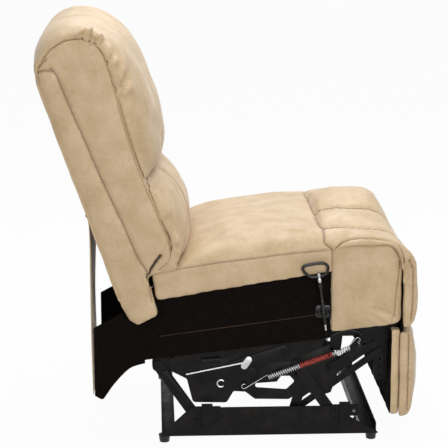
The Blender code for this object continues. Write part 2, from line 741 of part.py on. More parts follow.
def build_seat_cushion():
    """Crowned seat with a flat deck side, a seamed edge and sides drawn in between the corners."""
    shares = (0.0, 0.012, 0.045, 0.11, 0.18, 0.25, 0.35, 0.50, 0.65, 0.80, 0.90, 0.96, 1.0)
    rings = []
    for y in stations(SEAT_HALF_WIDTH):
        ring = []
        for share in shares:
            ahead = SEAT_REAR + SEAT_DEPTH * share
            band = BAND_REAR + (BAND_FRONT - BAND_REAR) * share
            tuck = band * 0.55 * (1 - ease(share, -0.02, 0.13)) ** 2
            crown = SEAT_CROWN * crown_share(y, SEAT_HALF_WIDTH) * ease(share, 0.06, 0.30)
            crown *= 1 - 0.4 * ease(share, 0.88, 1.0)
            x, z = seat_place(ahead, deck(ahead) + band - tuck + crown)
            draw = 1 - 0.018 * sin(pi * share)
            ring.append(Vector((x, y * draw, z)))
        for share in (1.0, 0.65, 0.35, 0.0):
            ahead = SEAT_REAR + SEAT_DEPTH * share
            x, z = seat_place(ahead, deck(ahead))
            ring.append(Vector((x, y * (1 - 0.012 * sin(pi * share)), z)))
        rings.append(ring)
    fit("seat_cushion", loft("cushion", rings), CARRIAGE, LEATHER, smooth=True)


def build_chaise_pad():
    """Front pad over the box: a rolled front and two sewn channels along its length."""
    length = BOX_DEPTH + CHAISE_OVERHANG
    top = BOX_TOP_RISE + FACE_GAP
    profile = ((0.0, 0.10, 0.14), (0.008, 0.50, 0.62), (0.15, 0.86, 0.92), (0.37, 1.0, 1.0),
               (0.62, 0.96, 0.97), (0.81, 0.72, 0.80), (0.94, 0.36, 0.42), (1.0, 0.08, 0.08))
    rings = []
    for y in stations(CHAISE_HALF_WIDTH, CHAISE_CHANNEL_AT):
        crown = CHAISE_CROWN * crown_share(y, CHAISE_HALF_WIDTH)
        crown -= CHANNEL_DEPTH * channel_share(y, CHAISE_CHANNEL_AT)
        ring = []
        for share, edge, middle in profile:
            x, z = seat_place(BOX_REAR + 0.001 + length * share, top + CHAISE_EDGE_HEIGHT * edge + crown * middle)
            ring.append(Vector((x, y * (1 - 0.014 * sin(pi * share)), z)))
        for share in (0.96, 0.5, 0.02):
            x, z = seat_place(BOX_REAR + 0.001 + length * share, top)
            ring.append(Vector((x, y * 0.985, z)))
        rings.append(ring)
    fit("chaise_pad", loft("pad", rings), CARRIAGE, LEATHER, smooth=True)


def build_footrest():
    hx, hz = FOOT_HINGE
    rear = hx - FOOT_HINGE_AHEAD + FOOTREST_SEAT_GAP
    face = rear + FOOTREST_PANEL
    top = hz - FOOTREST_PANEL_TOP
    half = FOOTREST_PANEL_HALF_WIDTH
    board = box("board", (rear, -half, top - FOOTREST_PANEL_LENGTH), (face, half, top))
    fit("footrest_panel", board, FOOTREST, WOOD)

    pads = (
        ("legrest_pad", hz - LEGREST_TOP, LEGREST_LENGTH, LEGREST_THICKNESS),
        ("ottoman_pad", hz - OTTOMAN_TOP, OTTOMAN_LENGTH, OTTOMAN_PAD_THICKNESS),
    )
    profile = ((0.0, 0.25), (0.03, 0.55), (0.11, 0.83), (0.30, 1.0), (0.62, 0.98), (0.86, 0.78), (0.97, 0.45), (1.0, 0.20))
    for name, start, length, thickness in pads:
        rings = []
        for y in stations(PAD_HALF_WIDTH):
            depth = thickness * (0.70 + 0.30 * crown_share(y, PAD_HALF_WIDTH) ** 0.5)
            depth += PAD_CROWN * crown_share(y, PAD_HALF_WIDTH)
            ring = []
            for share, swell in profile:
                draw = 1 - 0.014 * sin(pi * share)
                ring.append(Vector((face + FACE_GAP + depth * swell, y * draw, start - length * share)))
            for share in (1.0, 0.5, 0.0):
                ring.append(Vector((face + FACE_GAP, y * (1 - 0.014 * sin(pi * share)), start - length * share)))
            rings.append(ring)
        fit(name, loft(name, rings), FOOTREST, LEATHER, smooth=True)

    half = OTTOMAN_BOARD_HALF_WIDTH
    high = hz - OTTOMAN_TOP
    back_face = rear - FACE_GAP - OTTOMAN_BOARD
    board = box("board", (back_face, -half, high - OTTOMAN_LENGTH), (rear - FACE_GAP, half, high))
    fit("ottoman_board", board, FOOTREST, LEATHER)

    front = back_face - FACE_GAP
    web_rear = front - OTTOMAN_BRACKET_WEB
    high = hz - OTTOMAN_BRACKET_TOP
    low = high - OTTOMAN_BRACKET_LENGTH
    corners = rounded([(web_rear, low, 0.008), (front, low, 0), (front, high, 0), (web_rear, high, 0.008)])
    step = (OTTOMAN_BRACKET_LENGTH - 2 * BAR_SPACING) / OTTOMAN_HOLES
    holes = [
        circle((front - OTTOMAN_BRACKET_WEB * 0.55, low + step * (i + 0.6)), OTTOMAN_HOLE_RADIUS, 8)
        for i in range(OTTOMAN_HOLES)
    ]
    for word, side in SIDES:
        web = plate("web", OTTOMAN_WEB_OUTER, PLATE, side, corners, holes)
        flange = box(
            "flange",
            (front - PLATE, side * (OTTOMAN_WEB_OUTER - OTTOMAN_BRACKET_FLANGE), low),
            (front, side * (OTTOMAN_WEB_OUTER - PLATE / 2), high),
        )
        union(web, flange)
        for pivot in (UPPER_BAR_HIGH, UPPER_BAR_HIGH + BAR_STEP):
            union(web, rivet(pivot, OTTOMAN_WEB_OUTER, BAR_OUTER, side))
        fit(f"ottoman_bracket_{word}", web, FOOTREST, BLACK_STEEL)


def build_lift_linkage():
    low = UPPER_BAR_LOW + BAR_STEP
    for word, side in SIDES:
        outline = round_bar(CRANK_PIVOT, low, CRANK_WIDTH)
        crank = plate("crank", CRANK_OUTER, PLATE, side, outline, (hole(CRANK_PIVOT),))
        for pivot in (UPPER_BAR_LOW, low):
            union(crank, inward_rivet(pivot, CRANK_OUTER, BAR_OUTER, side))
        fit(f"lift_crank_{word}", crank, CRANKS, BLACK_STEEL)
        for name, shift, carrier in (("upper", Vector((0, 0)), UPPER_BARS), ("lower", BAR_STEP, LOWER_BARS)):
            start, end = UPPER_BAR_LOW + shift, UPPER_BAR_HIGH + shift
            bar = plate("bar", BAR_OUTER, PLATE, side, round_bar(start, end, BAR_WIDTH), (hole(start), hole(end)))
            fit(f"lift_bar_{name}_{word}", bar, carrier, BLACK_STEEL)
    x, z = CRANK_PIVOT + CRANK_ARM.normalized() * TORQUE_TUBE_ALONG
    half = CRANK_OUTER - PLATE - FACE_GAP
    shaft = cylinder("shaft", (x, -half, z), (x, half, z), TUBE_RADIUS, sides=16)
    fit("torque_tube", shaft, CRANKS, BLACK_STEEL, smooth=True)


def back_places(shares):
    """Forward and up places on the back, from shares of its height."""
    return [Vector(share) * BACK_HEIGHT for share in shares]


def shell_profile():
    """Side view of the back's body from the hinge: rear face, arch, front seam, tuck and leg."""
    r = BACK_REAR_FACE / BACK_HEIGHT
    rear = [(-r, 0.0709), (-r, 0.4724), (-r, 0.8819)]
    arch = [(-0.0567, 0.9417), (0.0000, 0.9827), (0.0630, 1.0000), (0.1260, 0.9890), (0.1701, 0.9543), (0.1890, 0.8976)]
    seam = [(0.1858, 0.7874), (0.1732, 0.6614), (0.1669, 0.5354), (0.1669, 0.4409), (0.1732, 0.2992), (0.1780, 0.1969)]
    tuck = [(0.1638, 0.1323), (0.1260, 0.1055), (0.0787, 0.0945)]
    leg = [(0.0535, 0.0472), (0.0441, -0.0236), (0.0189, -0.0598), (-0.0236, -0.0630), (-0.0567, -0.0189)]
    return [back_places(stretch) for stretch in (rear, arch, seam, tuck, leg)]


def offset(profile, distance):
    """A closed profile moved out (or in, where negative) along its own normals."""
    points = [Vector(point) for point in profile]
    moved = []
    for i, point in enumerate(points):
        along = (points[(i + 1) % len(points)] - points[i - 1]).normalized()
        moved.append(point + Vector((-along.y, along.x)) * distance)
    return moved


def raked_box(name, half, forward, up):
    """A block square to the back's rake, between two forward places and two heights."""
    corners = [raked(v, u) for v, u in ((forward[0], up[0]), (forward[1], up[0]), (forward[1], up[1]), (forward[0], up[1]))]
    return plate(name, half, 2 * half, 1, corners)


def shell_ring(y):
    """The back's side profile at one place over its width, drawn in over the rounded edge."""
    profile = [point for stretch in shell_profile() for point in stretch]
    past = max(0.0, abs(y) - (BACK_HALF_WIDTH - BACK_EDGE_ROUND))
    inset = BACK_EDGE_ROUND - max(BACK_EDGE_ROUND**2 - past**2, 0.0) ** 0.5
    return spread([raked(*point) for point in offset(profile, -BACK_EDGE_SHARE * inset)], y)


def build_back_shell():
    beyond = BACK_HALF_WIDTH + BACK_REAR_FACE
    shell = loft("shell", [shell_ring(y) for y in stations(BACK_HALF_WIDTH)])
    cut(shell, raked_box("notch", beyond, (-beyond, beyond), (-beyond, BACK_NOTCH_TOP)))
    outer = [y for y in stations(BACK_HALF_WIDTH) if y > LEG_INNER]
    for word, side in SIDES:
        leg = loft("leg", [shell_ring(side * y) for y in (LEG_INNER, *outer)])
        cut(leg, raked_box("above", beyond, (-beyond, beyond), (BACK_NOTCH_TOP - FACE_GAP, 1)))
        fit(f"back_leg_{word}", leg, BACK, LEATHER, smooth=True)
    rear, depth = -BACK_REAR_FACE, BACK_BOARD + FACE_GAP
    pocket = raked_box(
        "pocket",
        BACK_BOARD_HALF_WIDTH + FACE_GAP,
        (rear - depth, rear + depth + FACE_GAP),
        (BACK_BOARD_FROM - FACE_GAP, BACK_BOARD_TO + FACE_GAP),
    )
    cut(shell, pocket)
    fit("back_shell", shell, BACK, LEATHER, smooth=True)
    board = raked_box(
        "board", BACK_BOARD_HALF_WIDTH, (rear + FACE_GAP, rear + depth), (BACK_BOARD_FROM, BACK_BOARD_TO)
    )
    fit("back_board", board, BACK, WOOD)


def pillow(name, inner, outer):
    """A stuffed lobe between a seam line and its puffed face, fuller at the middle of its width."""
    partner = [min(inner, key=lambda place: (place - point).length) for point in outer]
    rings = []
    for y in stations(PILLOW_HALF_WIDTH, PILLOW_CHANNEL_AT):
        swell = PILLOW_EDGE_SHARE + (1 - PILLOW_EDGE_SHARE) * crown_share(y, PILLOW_HALF_WIDTH)
        swell -= PILLOW_CHANNEL_SHARE * channel_share(y, PILLOW_CHANNEL_AT)
        ring = []
        for i, (seam, face) in enumerate(zip(partner, outer)):
            draw = 1 - 0.014 * sin(pi * i / (len(outer) - 1))
            x, z = raked(*(seam + (face - seam) * swell))
            ring.append(Vector((x, y * draw, z)))
        for point in reversed(inner):
            x, z = raked(*point)
            ring.append(Vector((x, y, z)))
        rings.append(ring)
    fit(name, loft(name, rings), BACK, LEATHER, smooth=True)


def build_back_pillows():
    rear, arch, seam, tuck, leg = shell_profile()
    profile = rear + arch + seam + tuck + leg
    skin = offset(profile, PILLOW_SEAM_GAP)
    first = len(rear) - 1
    split = len(rear) + len(arch) + 3
    head_face = [
        (-0.0787, 0.9102), (-0.0488, 0.9701), (-0.0031, 1.0299), (0.0709, 1.0787), (0.1417, 1.0787), (0.2142, 1.0394),
        (0.2677, 0.9606), (0.2945, 0.8425), (0.2961, 0.7087), (0.2803, 0.5748), (0.2362, 0.4756), (0.1921, 0.4520),
    ]
    pillow("headrest_pillow", skin[first:split + 1], back_places(head_face))
    lumbar_face = [
        (0.1890, 0.4362), (0.2315, 0.4283), (0.2614, 0.3748), (0.2740, 0.2992), (0.2614, 0.2205), (0.2252, 0.1512),
        (0.1795, 0.1071), (0.1323, 0.0898), (0.0945, 0.0866),
    ]
    last = len(rear) + len(arch) + len(seam) + len(tuck)
    pillow("lumbar_pillow", skin[split + 1:last], back_places(lumbar_face))


def build_back_brackets():
    for word, side in SIDES:
        start, end = raked(0, 0), raked(0, BACK_BRACKET_REACH)
        outline = round_bar(start, end, 2 * BACK_BRACKET_RADIUS)
        leaf = plate("leaf", BACK_BRACKET_INNER + BACK_BRACKET, BACK_BRACKET, side, outline)
        union(leaf, pin(BACK_HINGE, PANEL_INNER + FACE_GAP, BACK_BRACKET_INNER + BACK_BRACKET / 2, side, BACK_HINGE_PIN_RADIUS))
        fit(f"back_bracket_{word}", leaf, BACK, BLACK_STEEL)


def build_loose_cloth():
    """The outside-back flap and the side gussets, hanging with shallow folds."""
    grip = -BACK_REAR_FACE - CLOTH
    high = raked(grip, FLAP_GRIP_TO)
    bend = raked(grip, FLAP_GRIP_FROM)
    low = REAR_TOP - Vector((FLAP_BOTTOM_BEHIND, FLAP_HEM_DROP))
    path = [high, bend] + [bend.lerp(low, t) for t in (0.25, 0.5, 0.75, 1.0)]
    shares = (0.0, 0.0, 0.35, 0.7, 0.9, 1.0)
    rings = []
    count = 4 * FLAP_FOLDS
    for i in range(count + 1):
        y = FLAP_HALF_WIDTH * (2 * i / count - 1)
        sway = FLAP_FOLD * cos(pi * i / 2)
        front = [Vector((p.x + sway * s, y, p.y)) for p, s in zip(path, shares)]
        back = [Vector((p.x - CLOTH, p.y, p.z)) for p in reversed(front)]
        rings.append(front + back)
    fit("outside_back_flap", loft("flap", rings), CARRIAGE, LEATHER, smooth=True)

    flap_x = low.x + FLAP_FOLD + CLOTH
    seam_x = REAR_TOP.x + PANEL_REAR
    front_x = REAR_TOP.x - 0.030
    columns = (
        (flap_x + 0.0006, -0.050, 0.155),
        (flap_x + 0.008, -0.072, 0.162),
        (flap_x + 0.018, -0.069, 0.166),
        (flap_x + 0.032, -0.044, 0.167),
        (flap_x + 0.048, -0.022, 0.162),
        (seam_x - 0.001, -0.012, 0.150),
        (seam_x + 0.014, -0.005, 0.128),
        (front_x, 0.006, 0.122),
    )
    for word, side in SIDES:
        rings = []
        for x, bottom, top in columns:
            loose = ease(seam_x - x, 0.0, 0.06)
            outer, inner = [], []
            for k in range(6):
                t = k / 5
                y = GUSSET_INNER - GUSSET_FOLD * loose * sin(pi * t)
                z = REAR_TOP.y + bottom + (top - bottom) * t
                outer.append(Vector((x, side * (y + CLOTH), z)))
                inner.append(Vector((x, side * y, z)))
            rings.append(outer + inner[::-1])
        fit(f"gusset_{word}", loft("gusset", rings), CARRIAGE, CAMBRIC, smooth=True)


def cable_axis():
    """The straight line of the release cable: its lower end over the lever stud, and its direction."""
    stud = LEVER_CABLE_STUD
    low = Vector((stud.x, -(PANEL_OUTER + CABLE_STAND_OFF), stud.y + STUD_RADIUS + PIVOT_GAP))
    return low, Vector(CABLE_LEAN).normalized()


def build_release():
    low, way = cable_axis()
    sheath_low = low + way * (CABLE_LENGTH - SHEATH_LENGTH - PIVOT_GAP)
    sheath_high = low + way * (CABLE_LENGTH - PIVOT_GAP)
    sheath = cylinder("sheath", sheath_low, sheath_high, SHEATH_RADIUS)
    cut(sheath, cylinder("bore", sheath_low - way * 0.01, sheath_high + way * 0.01, SHEATH_BORE))
    fit("cable_sheath", sheath, CARRIAGE, BLACK_PLASTIC, smooth=True)

    middle = sheath_low + way * CLAMP_HEIGHT
    clamp = box(
        "clamp",
        (middle.x - CLAMP_LENGTH / 2, middle.y + SHEATH_RADIUS + FACE_GAP + 0.0015, middle.z - CLAMP_HEIGHT / 2),
        (middle.x + CLAMP_LENGTH / 2, -(PANEL_OUTER + FACE_GAP), middle.z + CLAMP_HEIGHT / 2),
    )
    fit("cable_clamp", clamp, CARRIAGE, BLACK_STEEL)

    cable_top = low + way * CABLE_LENGTH
    ferrule_top = cable_top + way * FERRULE_LENGTH
    across = Vector((way.z, 0, -way.x)).normalized()
    centre = ferrule_top + way * (RING_HEIGHT / 2 - RING_WIRE_RADIUS) - across * RING_WIDTH * 0.10
    corner = RING_HEIGHT * 0.46
    outline = rounded(
        [
            (-RING_WIDTH / 2, -RING_HEIGHT * 0.36, corner * 0.6),
            (RING_WIDTH / 2, -RING_HEIGHT / 2, corner),
            (RING_WIDTH / 2, RING_HEIGHT / 2, corner),
            (-RING_WIDTH / 2, RING_HEIGHT * 0.36, corner * 0.6),
        ],
        4,
    )
    loop = [centre + across * a + way * b for a, b in outline]
    ring = tube("ring", loop, RING_WIRE_RADIUS, 2, closed=True)
    ferrule = cylinder("ferrule", cable_top, ferrule_top, FERRULE_RADIUS)
    wire = cylinder("wire", low, cable_top + way * FERRULE_LENGTH / 2, CABLE_RADIUS, sides=8)
    fit("pull_ring", union(ring, union(ferrule, wire)), PULL, BLACK_PLASTIC)

    bell = rounded(
        [
            (LEVER_CABLE_STUD.x - 0.008, LEVER_CABLE_STUD.y + 0.006, 0.007),
            (LEVER_CABLE_STUD.x - 0.004, LEVER_CABLE_STUD.y - 0.008, 0.007),
            (LEVER_PIVOT.x + 0.004, LEVER_PIVOT.y - 0.012, 0.010),
            (LEVER_PIVOT.x + 0.013, LEVER_PIVOT.y + 0.004, 0.008),
            (LEVER_SPRING_STUD.x + 0.008, LEVER_SPRING_STUD.y + 0.002, 0.007),
            (LEVER_SPRING_STUD.x - 0.002, LEVER_SPRING_STUD.y + 0.008, 0.007),
            (LEVER_PIVOT.x - 0.012, LEVER_PIVOT.y + 0.012, 0.012),
        ]
    )
    lever = plate("lever", LINK_OUTER, PLATE, -1, bell, (hole(LEVER_PIVOT),))
    inner = LINK_OUTER - PLATE / 2
    union(lever, pin(LEVER_SPRING_STUD, inner, SPRING_STUD_OUTER, -1, STUD_RADIUS))
    union(lever, pin(LEVER_CABLE_STUD, inner, -low.y + CABLE_RADIUS, -1, STUD_RADIUS))
    fit("release_lever", lever, LEVER, BLACK_STEEL)


def build_return_spring():
    """Tension spring from the carriage stud to the lever stud, one unbroken wire with its curls."""
    y = -SPRING_MIDDLE
    start = Vector((SPRING_ANCHOR.x, y, SPRING_ANCHOR.y))
    end = Vector((LEVER_SPRING_STUD.x, y, LEVER_SPRING_STUD.y))
    along = (end - start).normalized()
    up = Vector((0, 1, 0)).cross(along)
    out = Vector((0, 1, 0))
    grip = STUD_RADIUS + PIVOT_GAP
    first = start + along * grip
    last = end - along * grip
    coil_start = start + along * RETURN_SPRING_LEAD
    coil_end = end - along * RETURN_SPRING_LEAD * 0.6
    points = [first, first + along * 2 * RETURN_SPRING_WIRE, coil_start - along * 2 * RETURN_SPRING_RADIUS]
    per_curl = 8
    steps = RETURN_SPRING_COILS * per_curl
    for i in range(steps + 1):
        turn = 2 * pi * i / per_curl
        place = coil_start.lerp(coil_end, i / steps)
        points.append(place + (up * sin(turn) + out * cos(turn)) * RETURN_SPRING_RADIUS)
    points += [coil_end + along * 2 * RETURN_SPRING_RADIUS, last - along * 2 * RETURN_SPRING_WIRE, last]
    least = min(
        (points[i] - points[j]).length
        for i in range(len(points))
        for j in range(i + per_curl // 2, len(points))
    )
    print(f"return spring: least gap between turns {1000 * (least - 2 * RETURN_SPRING_WIRE):.2f} mm")
    fit("return_spring", tube("spring", points, RETURN_SPRING_WIRE, 1), CARRIAGE, SPRING_STEEL)


clear_scene()
PARTS = make_collection("armless_recliner")

LEATHER = make_material("tan leatherette", (0.56, 0.43, 0.28), 0.55)
CAMBRIC = make_material("black cambric", (0.02, 0.018, 0.017), 0.9)
BLACK_STEEL = make_material("black enamelled steel", (0.018, 0.018, 0.02), 0.4, 0.6)
BLACK_PLASTIC = make_material("black moulded plastic", (0.015, 0.015, 0.016), 0.3)
SPRING_STEEL = make_material("zinc spring wire", (0.62, 0.62, 0.64), 0.35, 1.0)
WOOD = make_material("plywood", (0.55, 0.40, 0.24), 0.7)

BASE = body("base", REAR_BASE)
REAR_LINKS = body("rear_links", REAR_BASE, BASE)
FRONT_LINKS = body("front_links", FRONT_BASE, BASE)
CARRIAGE = body("carriage", REAR_TOP, REAR_LINKS)
BACK = body("back", BACK_HINGE, CARRIAGE)
FOOTREST = body("footrest", FOOT_HINGE, CARRIAGE)
CRANKS = body("cranks", CRANK_PIVOT, CARRIAGE)
UPPER_BARS = body("upper_bars", UPPER_BAR_LOW, CRANKS)
LOWER_BARS = body("lower_bars", UPPER_BAR_LOW + BAR_STEP, CRANKS)
PULL = body("pull", LEVER_CABLE_STUD, CARRIAGE)
LEVER = body("lever", LEVER_PIVOT, CARRIAGE)

build_base()
build_rail_brackets()
build_swing_links()
build_carriage()
build_seat_box()
build_front_box()
build_seat_cushion()
build_chaise_pad()
build_footrest()
build_lift_linkage()
build_back_shell()
build_back_pillows()
build_back_brackets()
build_loose_cloth()
build_release()
build_return_spring()
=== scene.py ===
"""Armless recliner: its upholstery, loose cloth, hardware and studio stage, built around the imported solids.

Frame: metres, +X forward (the way a sitter faces), +Y to the sitter's left, +Z up, floor at Z = 0.
The right side, at -Y, carries the pull ring, its cable and the return spring.
"""

import json
from math import atan2, cos, pi, radians, sin, sqrt

import bmesh
import bpy
import numpy as np
from bpy.props import FloatProperty, FloatVectorProperty, IntProperty, PointerProperty
from mathutils import Matrix, Vector, noise
from mathutils.bvhtree import BVHTree
from mathutils.kdtree import KDTree


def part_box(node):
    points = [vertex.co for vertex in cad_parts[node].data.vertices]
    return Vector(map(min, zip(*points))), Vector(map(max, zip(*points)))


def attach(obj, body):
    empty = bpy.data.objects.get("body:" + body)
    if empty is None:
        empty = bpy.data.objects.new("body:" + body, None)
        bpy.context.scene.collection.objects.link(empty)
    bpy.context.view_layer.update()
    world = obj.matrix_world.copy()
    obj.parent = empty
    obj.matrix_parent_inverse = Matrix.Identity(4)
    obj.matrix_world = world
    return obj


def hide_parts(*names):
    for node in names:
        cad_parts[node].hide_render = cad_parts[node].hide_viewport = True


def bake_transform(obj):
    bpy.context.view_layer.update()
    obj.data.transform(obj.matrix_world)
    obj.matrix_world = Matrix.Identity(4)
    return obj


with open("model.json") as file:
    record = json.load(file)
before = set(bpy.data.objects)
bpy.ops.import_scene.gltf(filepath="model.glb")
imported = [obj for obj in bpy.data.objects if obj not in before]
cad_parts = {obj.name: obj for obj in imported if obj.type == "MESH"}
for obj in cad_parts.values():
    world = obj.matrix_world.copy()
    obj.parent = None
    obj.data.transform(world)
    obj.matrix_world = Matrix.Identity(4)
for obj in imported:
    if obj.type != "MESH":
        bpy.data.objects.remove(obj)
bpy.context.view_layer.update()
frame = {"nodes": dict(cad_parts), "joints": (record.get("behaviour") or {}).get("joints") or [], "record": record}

bl_info = {
    "name": "Armless Recliner",
    "version": (1, 0, 0),
    "blender": (4, 5, 0),
    "location": "View3D > Sidebar > Recliner",
    "description": "Upholsters and finishes the packed recliner and sets it on a studio stage",
    "category": "Object",
}

NODES = frame["nodes"]
JOINTS = {joint["name"]: joint for joint in frame["joints"]}
SIDES = (("right", -1), ("left", 1))


def side_place(joint):
    """A joint's axis in the side view, as (x, z)."""
    x, _, z = JOINTS[joint]["pos_m"]
    return Vector((x, z))


# Places from the frame
BACK_HINGE = side_place("recline")
REAR_TOP = side_place("carriage_level")
REAR_BASE = side_place("swing")
CABLE_WAY = Vector(JOINTS["pull_release"]["axis"]).normalized()
BACK_RAKE = radians(19.3)
BACK_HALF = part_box("back_shell")[1].y
SEAT_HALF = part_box("seat_cushion")[1].y
CHAISE_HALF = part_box("chaise_pad")[1].y
PAD_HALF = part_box("ottoman_pad")[1].y

# Faces of the side layers, counted outwards from the chair's middle
PLATE_FACE, PLATE_OUTER = 0.2434, 0.2441
ARM_FACE, ARM_OUTER = 0.2437, 0.2466
ROD_LAYER, CLIP_LAYER = 0.2468, 0.2448
TAB_FACE, TAB_OUTER = 0.2467, 0.2490
BUSH_LAYER = 0.2445
CHANNEL_FACE, CHANNEL_OUTER = 0.2486, 0.2528
PANEL_FACE = 0.2556
GUSSET_LAYER = 0.2562
LEG_FACE = 0.2607

# The back's side profile in its raked frame, forward and up from the recline hinge
ARCH_SEAM = (
    (-0.047, 0.560), (-0.036, 0.598), (0.000, 0.624), (0.040, 0.635), (0.080, 0.628), (0.108, 0.606),
    (0.120, 0.570), (0.118, 0.500), (0.110, 0.420), (0.106, 0.340), (0.106, 0.280), (0.110, 0.190),
    (0.113, 0.125), (0.104, 0.084), (0.080, 0.067), (0.050, 0.060),
)
REAR_BAND_SEAM = (
    (-0.006, 0.583), (0.001, 0.566), (0.003, 0.509), (0.009, 0.408), (0.014, 0.312), (0.024, 0.191),
    (0.028, 0.115), (0.036, 0.068), (0.024, 0.000),
)
REAR_CAP_SEAM = ((-0.046, 0.584), (-0.023, 0.584), (-0.003, 0.575))
CORNER_TUCK = ((-0.040, 0.590), (-0.024, 0.600), (-0.010, 0.607))
HEAD_CENTRE = (0.040, 0.500)
LUMBAR_CENTRE = (0.095, 0.180)
PANEL_SEAM = 0.100
# Folds along a seam: place along it, depth, half width, reach and lean
HEAD_FOLDS = (
    (0.168, 0.006, 0.005, 0.038, 0.60), (0.188, 0.009, 0.005, 0.040, 0.32), (0.208, 0.010, 0.006, 0.042, -0.56),
    (0.262, 0.005, 0.008, 0.040, -0.70), (0.325, 0.008, 0.013, 0.062, -0.62),
)
LUMBAR_FOLDS = (
    (0.560, 0.0020, 0.010, 0.035, 0.0), (0.640, 0.0025, 0.010, 0.035, 0.2), (0.705, 0.0030, 0.008, 0.035, 0.3),
)
# How deep the far side's gathers are, a seam's puckers and their pitch, and a fold's ridges and their place
FAR_GATHERS = 0.45
PUCKER, PUCKER_PITCH = 0.25, 0.019
FOLD_RIDGE, FOLD_OFFSET = 0.8, 1.6
# Where the pillows' front seams run, and how far out the pillows stand there
HEAD_PROFILE = (
    (-0.048, 0.572), (-0.047, 0.598), (-0.0355, 0.6225), (-0.0185, 0.6435), (0.001, 0.6575), (0.0215, 0.6645),
    (0.055, 0.669), (0.084, 0.662), (0.102, 0.654), (0.121, 0.640), (0.1405, 0.6215), (0.159, 0.592), (0.174, 0.561),
    (0.181, 0.522), (0.1835, 0.464), (0.182, 0.401), (0.1735, 0.341), (0.164, 0.305), (0.149, 0.278), (0.125, 0.264),
    (0.106, 0.262),
)
LUMBAR_PROFILE = (
    (0.104, 0.280), (0.125, 0.272), (0.140, 0.256), (0.158, 0.224), (0.167, 0.188), (0.166, 0.152), (0.160, 0.124),
    (0.145, 0.079), (0.127, 0.052), (0.105, 0.040), (0.094, 0.045),
)
# The legs, the filling between them and the lumbar pillow, and the slit where they meet
LEG_OUTLINE = (
    (0.060, 0.130), (0.077, 0.095), (0.043, 0.071), (0.034, 0.057), (0.030, 0.010), (0.0268, -0.0335),
    (-0.0231, -0.0400), (-0.036, -0.024), (-0.044, 0.015), (-0.044, 0.130),
)
TUCK_OUTLINE = (
    (0.036, 0.074), (0.0753, 0.0940), (0.098, 0.0985), (0.110, 0.078), (0.109, 0.060), (0.0994, 0.0505),
    (0.0757, 0.0555), (0.050, 0.0600), (0.034, 0.0610),
)
TUCK_SUNK = 0.0025  # how far the filling stays inside the legs' outer face
LEG_CREASE = ((0.078, 0.098), (0.060, 0.086), (0.043, 0.071), (0.034, 0.057), (0.031, 0.040))

# Seams of the seat, the chaise and its box in the side view
SEAT_BAND = (
    (-0.178, 0.4165), (-0.150, 0.424), (-0.048, 0.440), (0.042, 0.451), (0.134, 0.462), (0.228, 0.470),
)
SEAT_CROWN = (
    (-0.174, 0.001), (-0.150, 0.003), (-0.130, 0.010), (-0.110, 0.022), (-0.090, 0.036), (-0.070, 0.044),
    (-0.040, 0.049), (0.000, 0.050), (0.200, 0.050), (0.215, 0.047), (0.225, 0.041), (0.2315, 0.030),
)
# The seat's rolled side edges, and how its rear leans back under the lumbar pillow
SEAT_ROLL, ROLL_REACH = 0.75, 0.040
SEAT_LEAN, LEAN_END = 0.0105, -0.100
# The deck under the seat: a place ahead, its height and its slope
SEAT_DECK = (-0.17007, 0.35436, 0.15838)
# Places of the chaise's seams across it, the crown's share there and how far its outer lobes puff up
CHAISE_SEAMS, SEAM_CROWNS, LOBE_PUFF = (0.10, 0.215), (0.50, 0.15), 0.10
# The rolled hem over the box: ahead, up and its radius
HEM_LINE = (
    (0.2375, 0.4722, 0.0015), (0.2477, 0.4802, 0.0036), (0.2625, 0.4870, 0.0056), (0.2900, 0.4907, 0.0072),
    (0.3260, 0.4894, 0.0065), (0.3542, 0.4888, 0.0042), (0.3725, 0.4835, 0.0042), (0.3830, 0.4725, 0.0040),
    (0.3895, 0.4575, 0.0036), (0.3930, 0.4400, 0.0032), (0.3940, 0.4240, 0.0030),
)
BOX_RISE = 0.028
BOX_SEAM = (
    (0.3885, 0.440), (0.3875, 0.410), (0.3857, 0.393), (0.3815, 0.356), (0.3790, 0.320), (0.3737, 0.303),
)
BOX_CREASES = (
    ((0.328, 0.3290), (0.350, 0.3240), (0.369, 0.3154), (0.380, 0.3060)),
    ((0.3270, 0.3130), (0.3420, 0.3020), (0.3540, 0.2930)),
)
LEGREST_SEAM = ((0.409, 0.446), (0.4155, 0.430), (0.419, 0.408), (0.4195, 0.370), (0.419, 0.336), (0.416, 0.300))
LEGREST_FOLDS = (
    ((0.412, 0.450), (0.405, 0.438), (0.399, 0.426)), ((0.414, 0.432), (0.407, 0.415), (0.401, 0.396)),
)

